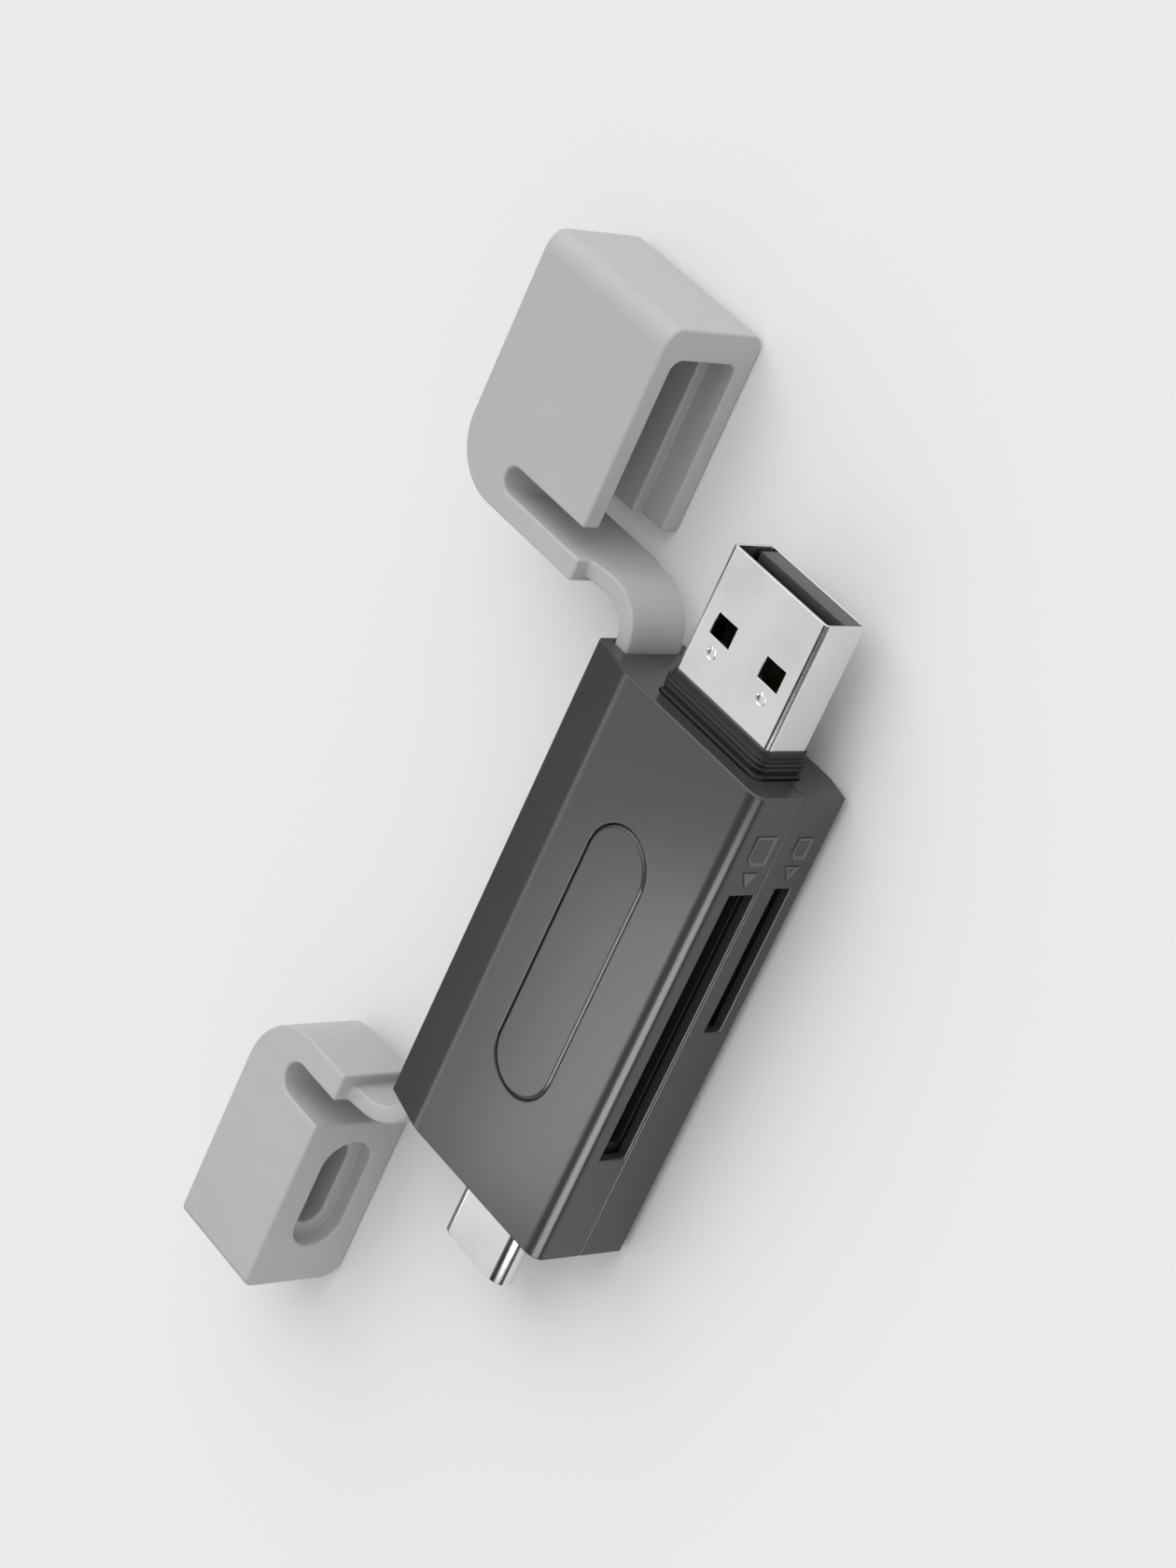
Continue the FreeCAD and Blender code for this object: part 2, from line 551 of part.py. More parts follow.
# Back shell
back = keep(Piece("back_shell"))
back.add("XZ", "-" + HALF_L, HALF_L, [
    ("-width / 2", "parting"), ("-width / 2", "bevel_height"), ("-width / 2 + bevel_width", "0"),
    ("width / 2 - bevel_width", "0"), ("width / 2", "bevel_height"), ("width / 2", "parting")])
back.soften("facet_blend", lambda b: near(abs(b.XMin), "width / 2 - bevel_width") and
            b.XMax - b.XMin < 0.01 and near(b.ZMax, "0"))
back.soften("rim_break", rim)
back.cut("XY", "wall", "parting + 1",
         rect("-width / 2 + wall", "-length / 2 + wall", "width / 2 - wall", "length / 2 - wall"))
OUTSET = "(wall - lip_thick - lip_gap)"
back.cut("XY", "parting - lip_height - lip_gap", "parting + 1", rect(
    "-width / 2 + " + OUTSET, "-length / 2 + " + OUTSET, "width / 2 - " + OUTSET, "length / 2 - " + OUTSET))
CATCH_OUT = "width / 2 - wall + lip_thick + catch_depth + lip_gap"
for y in ("-7", "7"):
    back.cut("XY", catch_z + " - catch_high / 2 - lip_gap", catch_z + " + catch_high / 2 + lip_gap",
             rect("-(%s)" % CATCH_OUT, y + " - catch_length / 2 - lip_gap",
                  CATCH_OUT, y + " + catch_length / 2 + lip_gap"))
back.cut("YZ", "width / 2 - wall - 0.2", "width / 2 + 1",
         rect("small_slot_low", "small_slot_back", "small_slot_high", "small_slot_front"))
for x, y in POSTS:
    back.hole(x, y, "wall - 0.2", "board_back", "post_radius", solid=True)
    back.hole(x, y, "board_back - 0.2", "board_back + pin_rise", "pin_radius", solid=True)
back.add("XY", "wall - 0.2", "board_back",
         rect("width / 2 - wall - ledge_width", LEDGE[0], "width / 2 - wall + 0.2", LEDGE[1]))
GUIDE = HEAD_RIGHT + " + channel_play"
for low, high in ((CHANNEL_END, "length / 2 - wall + 0.2"),
                  ("-length / 2 + wall - 0.2", "-(%s)" % CHANNEL_END)):
    back.add("XY", "wall - 0.2", "parting - lip_height - lip_gap",
             rect(GUIDE, low, GUIDE + " + guide_thick", high))
end_openings(back)

# Oval panel
oval = keep(Piece("oval_inlay"))
oval.add("XY", "thickness - oval_depth", "thickness",
         swap(stadium("oval_y", "oval_x", "oval_length / 2", "oval_width / 2")))

# Circuit board
board = keep(Piece("circuit_board"))
board.add("XY", "board_back", BOARD_FRONT, [
    (BOARD_LEFT, "-(%s)" % BOARD_REACH), (SLIM_ARM_LEFT, "-(%s)" % BOARD_REACH),
    (SLIM_ARM_LEFT, SLIM_NOTCH), (SLIM_ARM_RIGHT, SLIM_NOTCH), (SLIM_ARM_RIGHT, "-(%s)" % BOARD_REACH),
    (BOARD_RIGHT, "-(%s)" % BOARD_REACH), (BOARD_RIGHT, WIDE_NOTCH), (WIDE_ARM, WIDE_NOTCH),
    (WIDE_ARM, BOARD_REACH), (BOARD_LEFT, BOARD_REACH)])
for x, y in POSTS:
    board.hole(x, y, "board_back - 0.5", BOARD_FRONT + " + 0.5", "hole_radius")
for side in (-1, 1):
    x = "wide_x + %d * (wide_width - wide_wall) / 2" % side
    board.cut("XY", "board_back - 0.5", BOARD_FRONT + " + 0.5",
              rect(x + " - wide_wall / 2 - fit", LEGS[0] + " - fit", x + " + wide_wall / 2 + fit",
                   LEGS[1] + " + fit"))

# Wide plug
WIDE_INSIDE = wide_section("-wide_wall", "wide_corner - wide_wall + 0.05")
wide = keep(Piece("wide_plug_shell"))
wide.add("XZ", WIDE_REAR, WIDE_TIP, wide_section("0", "wide_corner"))
wide.cut("XZ", WIDE_REAR + " - 1", WIDE_TIP + " + 1", WIDE_INSIDE)
latch = [rect("wide_x + %s - window_width / 2" % at, WIDE_TIP + " - window_setback - window_length / 2",
              "wide_x + %s + window_width / 2" % at, WIDE_TIP + " - window_setback + window_length / 2")
         for at in ("window_offset", "-window_offset")]
wide.cut("XY", "wide_z - wide_thick", "wide_z + wide_thick", *latch)
for at in ("dimple_offset", "-dimple_offset"):
    wide.hole("wide_x + " + at, WIDE_TIP + " - dimple_setback", "wide_z + wide_thick / 2 - dimple_depth",
              "wide_z + wide_thick / 2 + 1", "dimple_radius")
for side in (-1, 1):
    x = "wide_x + %d * (wide_width - wide_wall) / 2" % side
    wide.add("YZ", x + " - wide_wall / 2", x + " + wide_wall / 2", [
        (LEGS[0], "board_back - leg_depth"), (LEGS[1], "board_back - leg_depth"),
        (LEGS[1], BOARD_FRONT + " + leg_depth"), (WIDE_REAR + " + wide_wall", BOARD_FRONT + " + leg_depth"),
        (WIDE_REAR + " + wide_wall", BOARD_FRONT + " + leg_width"), (LEGS[0], BOARD_FRONT + " + leg_width")])

TONGUE_BACK = "wide_z - wide_thick / 2 + wide_wall"
TONGUE_TOP = TONGUE_BACK + " + tongue_thick"
PAD_FRONT = WIDE_TIP + " - pad_setback"
SPRING_FRONT = WIDE_TIP + " - spring_setback"
pads = ["pad_inner", "-pad_inner", "pad_outer", "-pad_outer"]
springs = ["0", "spring_inner", "-spring_inner", "spring_outer", "-spring_outer"]


def strip_slots(places, size):
    return [rect("wide_x + (%s) - %s / 2" % (at, size), TONGUE_TOP + " - strip_thick",
                 "wide_x + (%s) + %s / 2" % (at, size), TONGUE_TOP) for at in places]


tongue = keep(Piece("wide_plug_tongue"))
tongue.add("XZ", WIDE_REAR, HALF_L + " + tongue_root", WIDE_INSIDE)
tongue.add("XZ", HALF_L, WIDE_TIP + " - tongue_setback",
           rect("wide_x - wide_width / 2 + 2 * wide_wall", TONGUE_BACK,
                "wide_x + wide_width / 2 - 2 * wide_wall", TONGUE_TOP))
tongue.cut("XZ", WIDE_REAR + " - 1", PAD_FRONT, *strip_slots(pads, "pad_width"))
tongue.cut("XZ", WIDE_REAR + " - 1", SPRING_FRONT, *strip_slots(springs, "spring_width"))


def wide_contacts(name, places, size, profile):
    """Row of strips in the tongue, each with a solder tail on the board."""
    piece = keep(Piece(name))
    for at in places:
        piece.add("YZ", "wide_x + (%s) - %s / 2" % (at, size), "wide_x + (%s) + %s / 2" % (at, size), profile)
    return piece


TAIL_Y = WIDE_NOTCH + " - tail_gap"
tail = [(TAIL_Y, TONGUE_TOP), (TAIL_Y, BOARD_FRONT + " + strip_thick"),
        (TAIL_Y + " - tail_reach", BOARD_FRONT + " + strip_thick"), (TAIL_Y + " - tail_reach", BOARD_FRONT),
        (TAIL_Y + " + strip_thick", BOARD_FRONT), (TAIL_Y + " + strip_thick", TONGUE_TOP + " - strip_thick")]
wide_contacts("wide_plug_contacts", pads, "pad_width",
              tail + [(PAD_FRONT, TONGUE_TOP + " - strip_thick"), (PAD_FRONT, TONGUE_TOP)])
wide_contacts("wide_plug_spring_contacts", springs, "spring_width", tail + [
    (SPRING_FRONT, TONGUE_TOP + " - strip_thick"), (SPRING_FRONT, TONGUE_TOP + " + strip_thick"),
    (SPRING_FRONT + " - 0.3 * spring_hump", TONGUE_TOP + " + spring_rise"),
    (SPRING_FRONT + " - 0.45 * spring_hump", TONGUE_TOP + " + spring_rise"),
    (SPRING_FRONT + " - spring_hump", TONGUE_TOP)])

collar = keep(Piece("wide_plug_collar"))
CORE = "collar_margin - collar_core"
collar.add("XZ", HALF_L + " - wall - collar_flange", HALF_L + " - wall",
           wide_section("flange_margin", "collar_corner"))
collar.add("XZ", HALF_L + " - wall - 0.2", HALF_L + " + 0.2", wide_section("collar_margin", "collar_corner"))
collar.add("XZ", HALF_L, HALF_L + " + collar_height", wide_section(CORE, "collar_corner - collar_core"))
for rib in range(3):
    top = HALF_L + " + collar_height - %d * rib_spacing" % rib
    collar.add("XZ", top + " - rib_height", top, wide_section("collar_margin", "collar_corner"))
collar.add("XZ", HALF_L + " + collar_height - 0.1", HALF_L + " + collar_height + collar_step",
           wide_section("collar_step_margin", "wide_corner + collar_step_margin"))
collar.cut("XZ", HALF_L + " - 5", HALF_L + " + 5", wide_section("0", "wide_corner"))

# Slim plug
slim = keep(Piece("slim_plug_shell"))
slim.add("XZ", SLIM_TIP, SLIM_REAR, slim_section("0"))
slim.cut("XZ", SLIM_TIP + " - 1", SLIM_REAR + " + 1", slim_section("-slim_wall"))
for side in (-1, 1):
    inner = "slim_x + %d * (slim_width / 2 - slim_wall + 0.02)" % side
    outer = "slim_x + %d * (slim_width / 2 - 0.02)" % side
    foot_in = "slim_x + %d * (slim_width / 2 - 1)" % side
    foot_out = "slim_x + %d * (slim_width / 2 + 0.6)" % side
    leg = [(inner, SLIM_REAR + " - 0.4"), (outer, SLIM_REAR + " - 0.4"), (outer, SLIM_NOTCH + " + 0.2"),
           (foot_out, SLIM_NOTCH + " + 0.2"), (foot_out, SLIM_NOTCH + " + 1.2"),
           (foot_in, SLIM_NOTCH + " + 1.2"),
           (foot_in, SLIM_NOTCH + " + 0.2"), (inner, SLIM_NOTCH + " + 0.2")]
    slim.add("XY", BOARD_FRONT, BOARD_FRONT + " + slim_wall", leg)

insulator = keep(Piece("slim_plug_insulator"))
insulator.add("XZ", SLIM_TIP + " + 0.2", SLIM_REAR, slim_section("-slim_wall"))
insulator.cut("XZ", SLIM_TIP + " - 1", SLIM_TIP + " + slim_mouth_depth",
              round_rect("slim_x - slim_mouth_width / 2", "slim_z - slim_mouth_thick / 2",
                         "slim_x + slim_mouth_width / 2", "slim_z + slim_mouth_thick / 2", "0.2"))
ROW = "(slim_spacing * 11 + slim_strip_width)"
for low, high in (("slim_z + slim_mouth_thick / 2 - slim_strip", "slim_z + slim_mouth_thick / 2"),
                  ("slim_z - slim_mouth_thick / 2", "slim_z - slim_mouth_thick / 2 + slim_strip")):
    insulator.cut("XZ", SLIM_TIP + " + slim_mouth_depth - 0.5", SLIM_REAR + " + 1",
                  rect("slim_x - %s / 2" % ROW, low, "slim_x + %s / 2" % ROW, high))

SLIM_TAIL = SLIM_REAR + " + 0.2"


def slim_contacts(name, upper, lower, tail_upper, tail_lower):
    """Row of twelve strips on one side of the opening, with tails on one face of the board."""
    piece = keep(Piece(name))
    first = "slim_x - 5.5 * slim_spacing"
    strip = piece.add("YZ", first + " - slim_strip_width / 2", first + " + slim_strip_width / 2", [
        (SLIM_TIP + " + 1.2", lower), (SLIM_TIP + " + 1.2", upper), (SLIM_TAIL + " + slim_strip", upper),
        (SLIM_TAIL + " + slim_strip", tail_upper), (SLIM_NOTCH + " + 1.4", tail_upper),
        (SLIM_NOTCH + " + 1.4", tail_lower), (SLIM_TAIL, tail_lower), (SLIM_TAIL, lower)])
    piece.repeat(strip, "X", "12", "slim_spacing")


slim_contacts("slim_plug_contacts_front", "slim_z + slim_mouth_thick / 2",
              "slim_z + slim_mouth_thick / 2 - slim_strip", BOARD_FRONT + " + slim_strip", BOARD_FRONT)
slim_contacts("slim_plug_contacts_back", "slim_z - slim_mouth_thick / 2 + slim_strip",
              "slim_z - slim_mouth_thick / 2", "board_back", "board_back - slim_strip")

slim_collar = keep(Piece("slim_plug_collar"))
slim_collar.add("XZ", "-length / 2 + wall", "-length / 2 + wall + collar_flange",
                slim_section("slim_flange_margin"))
slim_collar.add("XZ", "-length / 2 - slim_collar_height", "-length / 2 + wall + 0.2",
                slim_section("slim_collar_margin"))
slim_collar.cut("XZ", "-length / 2 - 5", "-length / 2 + 5", slim_section("0"))


# Card sockets: the same build on both faces of the board, facing away from it

def socket(name, face, away, left, size):
    """Plastic base, sheet cover and contact row; away is +1 for the board's front face.

    The size names start with the given word, for example large_outer.
    """
    middle, outer, inner, floor, height, rear, wide_, pitch, count = (size + "_" + word for word in (
        "middle", "outer", "inner", "floor", "height", "rear_wall", "contact_width", "contact_spacing",
        "contact_count"))

    def level(rise):
        return "%s + %d * (%s)" % (face, away, rise)

    def span(low, high):
        return (level(low), level(high)) if away > 0 else (level(high), level(low))

    y0, y1 = "%s - %s / 2" % (middle, outer), "%s + %s / 2" % (middle, outer)
    c0, c1 = "%s - %s / 2" % (middle, inner), "%s + %s / 2" % (middle, inner)
    first = "%s - (%s - 1) * %s / 2" % (middle, count, pitch)
    base = keep(Piece(name + "_base"))
    base.add("XY", *span("0", height), rect(left, y0, SOCKET_MOUTH, y1))
    base.cut("XY", *span(floor, height + " + 1"),
             rect("%s + %s" % (left, rear), c0, SOCKET_MOUTH + " + 1", c1))
    groove = base.cut("YZ", left + " - 1", left + " + contact_end + 0.4", rect(
        "%s - %s / 2 - fit" % (first, wide_), span("sheet", floor + " + 0.2")[0],
        "%s + %s / 2 + fit" % (first, wide_), span("sheet", floor + " + 0.2")[1]))
    base.repeat(groove, "Y", count, pitch)
    cover = keep(Piece(name + "_cover"))
    cover.add("XY", *span("0", height + " + sheet"),
              rect(left + " + 0.3", y0 + " - sheet", SOCKET_MOUTH, y1 + " + sheet"))
    cover.cut("XY", *span("-1", height), rect(left + " - 1", y0, SOCKET_MOUTH + " + 1", y1))
    vent0, vent1 = left + " + vent_start", left + " + vent_start + vent_length"
    cover.cut("XY", *span(height + " - 0.5", height + " + 1"),
              rect(vent0, c0 + " + vent_side", vent1, c0 + " + vent_side + vent_width"),
              rect(vent0, c1 + " - vent_side - vent_width", vent1, c1 + " - vent_side"))
    contacts = keep(Piece(name + "_contacts"))
    strip = contacts.add("XZ", "%s - %s / 2" % (first, wide_), "%s + %s / 2" % (first, wide_), [
        (left + " - contact_foot", level("0")), (left, level("0")), (left, level("sheet")),
        (left + " + contact_flat", level("sheet")),
        (left + " + contact_crest", level(floor + " + contact_lift")),
        (left + " + contact_end", level(floor + " - sheet / 2")),
        (left + " + contact_end", level(floor + " + sheet / 2")),
        (left + " + contact_crest", level(floor + " + contact_lift + sheet")),
        (left + " + contact_flat - sheet / 2", level("2 * sheet")), (left + " - sheet", level("2 * sheet")),
        (left + " - sheet", level("sheet")), (left + " - contact_foot", level("sheet"))])
    contacts.repeat(strip, "Y", count, pitch)


socket("large_socket", BOARD_FRONT, 1, LARGE_REAR, "large")
socket("small_socket", "board_back", -1, SMALL_REAR, "small")


# Electronics on the back of the board

CHIP_Y = "(small_middle - small_outer / 2 + %s) / 2 + chip_shift" % SLIM_NOTCH
BESIDE_SMALL = SMALL_REAR + " - contact_foot - capacitor_wide"


def spot(across, along):
    """Place on the board, counted in spacings from the controller."""
    return "chip_x + (%s) * part_spacing" % across, "%s + (%s) * part_spacing" % (CHIP_Y, along)


def chip(name, place, wide_, long_, high):
    """Block soldered to the back of the board, centred on a place."""
    x, y = place
    return box(name, "%s - %s / 2" % (x, wide_), "%s - %s / 2" % (y, long_), "board_back - " + high,
               "%s + %s / 2" % (x, wide_), "%s + %s / 2" % (y, long_), "board_back")


CAPACITORS = [spot("-4", "3"), spot("-4", "-1.5"), spot("4.5", "1.75"), spot("4.5", "-0.5"),
              spot("5.5", "-2.5"), spot("-5.5", "-4"), (BESIDE_SMALL, "small_middle"),
              (BESIDE_SMALL, "small_middle - 3.5 * part_spacing")]
RESISTORS = [spot("-4", "-4.75"), spot("-2", "-4.75"), spot("-1", "-4.75"), spot("0", "-4.75"),
             spot("1", "-4.75"), spot("5.75", "3"), spot("5.75", "0.75")]
keep(chip("controller_chip", spot("0", "0"), "chip_side", "chip_side", "chip_height"))
keep(chip("power_chip", spot("-6", "3.5"), "power_wide", "power_long", "power_high"))
keep(chip("crystal", spot("-6", "-0.5"), "crystal_wide", "crystal_long", "crystal_high"))
for name, places in (("capacitor", CAPACITORS), ("resistor", RESISTORS)):
    high = "capacitor_wide" if name == "capacitor" else "resistor_high"
    keep(group(name + "s", [chip("%s_%d" % (name, i), place, name + "_wide", name + "_long", high)
                            for i, place in enumerate(places, start=1)]))


# Rubber: a neck with a hidden head, and a cap with a slotted strap, at each end

def neck(name, side):
    """Stem, bend and head at one end; side is +1 for the wide plug."""
    def along(text):
        return "%d * (%s)" % (side, text)

    def span(low, high):
        return (along(low), along(high)) if side > 0 else (along(high), along(low))

    piece = keep(Piece(name))
    head_out = HALF_L + " - wall - head_play"
    piece.add("XY", "neck_wide_back", "neck_wide_front", [
        (NECK_LEFT, along(head_out + " - head_length")), (NECK_RIGHT, along(head_out + " - head_length")),
        (NECK_RIGHT, along(BEND_Y), "neck_bend + neck_thick", side),
        (BEND_X, along(STRAP_LINE)), (STRAP_START, along(STRAP_LINE)),
        (STRAP_START, along(STRAP_LINE + " - neck_thick")),
        (BEND_X, along(STRAP_LINE + " - neck_thick"), "neck_bend", -side),
        (NECK_LEFT, along(BEND_Y))])
    for wide_edge, edge, far in (("neck_wide_front", "neck_front", "thickness + 1"),
                                 ("neck_wide_back", "neck_back", "-1")):
        piece.cut("XZ", *span(head_out + " - head_length - 1", STRAP_LINE + " + 1"), [
            (STRAP_START, wide_edge), (NECK_LEFT, edge), ("0", edge), ("0", far), (STRAP_START, far)])
    piece.add("XZ", *span(head_out + " - head_length", head_out),
              rect(NECK_LEFT, "neck_back - head_extra", HEAD_RIGHT, "neck_front + head_extra"))


def cap_block(piece, side, plug):
    """Outline of strap and cap, the slot between them and the rounded outer edges.

    The size names start with the plug's name, for example wide_strap.
    """
    strap, gap, slot, bend = plug + "_strap", plug + "_gap", plug + "_slot", plug + "_cap_bend"
    mouth = "%s - %s_setback" % (STRAP_START, plug)
    left = "%s - %s_cap_length" % (mouth, plug)
    top = "%s + %s + %s_cap_width" % (STRAP_LINE, gap, plug)

    def along(text):
        return "%d * (%s)" % (side, text)

    piece.add("XY", "0", "thickness", [
        (STRAP_START, along(STRAP_LINE + " - " + strap)), (STRAP_START, along(STRAP_LINE + " + 0.2")),
        (mouth, along(STRAP_LINE + " + 0.2")), (mouth, along(top)), (left, along(top)),
        (left, along("%s - %s + %s" % (STRAP_LINE, strap, bend)), bend, side),
        ("%s + %s" % (left, bend), along(STRAP_LINE + " - " + strap))])
    closed, opened = "%s - %s" % (STRAP_START, slot), "%s + %s" % (STRAP_START, gap)
    piece.cut("XY", "-1", "thickness + 1",
              stadium("(%s + %s) / 2" % (closed, opened), along("%s + %s / 2" % (STRAP_LINE, gap)),
                      "(%s + %s) / 2" % (slot, gap), gap + " / 2"))
    piece.soften("cap_radius", lambda b: near(b.YMin, along(top)) and near(b.YMax, along(top)) and
                 b.XMax - b.XMin > number("cap_corner"))
    piece.soften("cap_corner", lambda b: near(b.XMin, left) and near(b.XMax, left, 0.1) and
                 abs(b.YMin - number(along(top))) < 0.1 and b.ZMax - b.ZMin > number("cap_corner"))
    return mouth


neck("wide_cap_neck", 1)
wide_cap = keep(Piece("wide_plug_cap"))
wide_mouth = cap_block(wide_cap, 1, "wide")
SLOT_TOP = STRAP_LINE + " + wide_gap"
CAVITY_TOP = SLOT_TOP + " + wide_cap_width - cap_top_wall"


def cavity(back_wall):
    """Three-sided cavity section, open towards the slot."""
    low, high = back_wall, "thickness - cap_front_wall"
    return [(SLOT_TOP + " - 0.5", low), (CAVITY_TOP + " - cavity_radius", low, "cavity_radius", 1),
            (CAVITY_TOP, low + " + cavity_radius"),
            (CAVITY_TOP, high + " - cavity_radius", "cavity_radius", 1),
            (CAVITY_TOP + " - cavity_radius", high), (SLOT_TOP + " - 0.5", high)]


wide_cap.cut("YZ", wide_mouth + " - cap_recess", wide_mouth + " + 2", cavity("cap_back_wall"))
wide_cap.cut("YZ", wide_mouth + " - cap_hole_depth", wide_mouth + " + 2",
             cavity("cap_back_wall + cap_inner_step"))

neck("slim_cap_neck", -1)
slim_cap = keep(Piece("slim_plug_cap"))
slim_mouth = cap_block(slim_cap, -1, "slim")
for depth, wide_, thick in (("slim_recess", "slim_recess_width", "slim_recess_thick"),
                            ("slim_hole_depth", "slim_hole_width", "slim_hole_thick")):
    slim_cap.cut("YZ", slim_mouth + " - " + depth, slim_mouth + " + 2",
                 stadium("-(%s + slim_gap + slim_hole_side)" % STRAP_LINE, "slim_hole_z", wide_ + " / 2",
                         thick + " / 2"))

# Check and write
doc.recompute()
for item in doc.Objects:
    if "Invalid" in item.State or "Error" in item.State:
        raise RuntimeError("%s did not compute: %s" % (item.Name, item.State))
os.makedirs("parts", exist_ok=True)
for part in SUBPARTS:
    shape = part.Shape
    if shape.isNull() or not shape.isValid() or not shape.Solids:
        raise RuntimeError("%s is not a valid solid" % part.Label)
    shape.exportStep("parts/%s.step" % part.Label)
    print("%-28s %8.1f mm3  %d solid(s)  %d faces"
          % (part.Label, shape.Volume, len(shape.Solids), len(shape.Faces)))
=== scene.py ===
import math

import bmesh
import bpy
from bmesh.types import BMEdge, BMFace, BMVert
from bpy.props import FloatProperty, FloatVectorProperty, IntProperty, PointerProperty
from mathutils import Matrix, Quaternion, Vector


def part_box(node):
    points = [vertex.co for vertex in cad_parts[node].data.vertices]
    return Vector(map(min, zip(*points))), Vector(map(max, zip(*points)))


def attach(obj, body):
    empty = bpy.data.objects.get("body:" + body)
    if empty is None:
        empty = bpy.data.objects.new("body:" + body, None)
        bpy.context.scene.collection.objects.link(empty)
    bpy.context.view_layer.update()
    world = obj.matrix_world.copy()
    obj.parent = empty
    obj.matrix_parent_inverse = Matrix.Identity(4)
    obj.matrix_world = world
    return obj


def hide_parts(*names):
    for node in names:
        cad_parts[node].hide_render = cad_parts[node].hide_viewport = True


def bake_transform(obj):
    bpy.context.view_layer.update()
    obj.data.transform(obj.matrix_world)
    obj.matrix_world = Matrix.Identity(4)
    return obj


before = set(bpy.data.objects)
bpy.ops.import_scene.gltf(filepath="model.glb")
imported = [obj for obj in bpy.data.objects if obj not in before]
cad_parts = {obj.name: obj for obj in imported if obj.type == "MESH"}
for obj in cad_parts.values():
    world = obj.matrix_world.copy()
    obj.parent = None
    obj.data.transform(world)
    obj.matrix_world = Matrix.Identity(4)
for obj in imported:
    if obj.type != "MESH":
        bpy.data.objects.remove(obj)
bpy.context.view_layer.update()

bl_info = {
    "name": "Memory card reader",
    "version": (1, 0, 0),
    "blender": (4, 5, 0),
    "location": "3D View > Sidebar > Card reader",
    "description": "Card reader with two plugs, two card slots and two captive rubber caps",
    "category": "Object",
}

MM = 0.001
TINY = 0.005 * MM                   # places closer than this count as the same place
WELD = 0.001 * MM                   # points closer than this are joined
SHARP = math.radians(30)            # edges that bend more than this are rounded
FACES_PER_MM = 4                    # faces round a corner for each millimetre of its radius
FEWEST_FACES = 6                    # faces round the smallest corners
LONG_EDGE_FACES = 8                 # faces across a long rounded edge of a cap


# Sizes and colours that a user may change

def length(name, text, millimetres):
    """A length property whose default is given in millimetres."""
    return FloatProperty(name=name, description=text, default=millimetres * MM, min=0.0, precision=5,
                         unit="LENGTH", subtype="DISTANCE")


def colour(name, text, value):
    """A colour property of three linear values."""
    return FloatVectorProperty(name=name, description=text, default=value, size=3, min=0.0, max=1.0,
                               subtype="COLOR")


def share(name, text, value, high=1.0):
    """A plain number property between nought and its highest value."""
    return FloatProperty(name=name, description=text, default=value, min=0.0, max=high, subtype="FACTOR")


def turn(name, text, degrees):
    """An angle property whose default is given in degrees."""
    return FloatProperty(name=name, description=text, default=math.radians(degrees), unit="ROTATION",
                         subtype="ANGLE")


def spot(name, text, place):
    """A place property in the shared frame, in metres."""
    return FloatVectorProperty(name=name, description=text, default=place, precision=5, unit="LENGTH",
                               subtype="TRANSLATION")


class ReaderHousingSizes(bpy.types.PropertyGroup):
    """Edges of the hard pieces."""
    edge: length("Housing edges", "Rounding of the housing's edges and of its seam", 0.16)
    long_edge: length("Long edge", "Radius of the front's right edge in the frame", 1.05)
    roll_off: length("Roll off", "How far the front's right edge rolls off across the front", 1.6)
    panel_edge: length("Panel edges", "Rounding of the oval panel", 0.3)
    steel_edge: length("Sheet edges", "Rounding of the plug shells' sheet edges", 0.05)
    dimples_apart: length("Dimples apart", "Distance of each dimple from the wide plug's middle", 3.2)
    dimples_behind: length("Dimples behind", "Distance of the dimples behind the wide plug's tip", 8.36)
    dimples_reach: length("Dimples reach", "Radius within which a dimple's points are widened", 0.5)
    dimples_wider: share("Dimples wider", "How many times wider the dimples are made", 1.3, 3.0)
    collar_edge: length("Collar edges", "Rounding of the ribs on the plug collars", 0.06)
    inner_edge: length("Inner edges", "Rounding of the sockets and the board parts", 0.04)


class ReaderSignSizes(bpy.types.PropertyGroup):
    """Raised signs beside the card slots."""
    height: length("Height", "How far the signs stand out of the side", 0.14)
    line: length("Line", "Width of the card outlines", 0.26)
    open_arrow: share("Open arrow's line", "Line of the small slot's arrow for that of the cards", 0.8)
    large_start: length("Large slot's signs", "Where they start along the side", 14.4)
    small_start: length("Small slot's signs", "Where they start along the side", 14.9)
    front_margin: length("Front margin", "What the large slot's signs leave free in front", 1.1)
    back_margin: length("Back margin", "What the small slot's signs leave free behind", 0.6)
    arrow: length("Arrow length", "From the tip of an arrow to its base", 1.3)
    arrow_half: length("Arrow width", "Half of the base of an arrow", 0.75)
    card_start: length("Card place", "From the tip of an arrow to its card", 2.0)
    large_card: length("Large card", "Long side of the large slot's card", 2.7)
    small_card: length("Small card", "Long side of the small slot's card", 2.0)
    card_half: share("Card width", "Half of a card's short side for its long side", 0.4)
    clipped: share("Clipped corner", "Clipped corner of a card for its long side", 0.22)


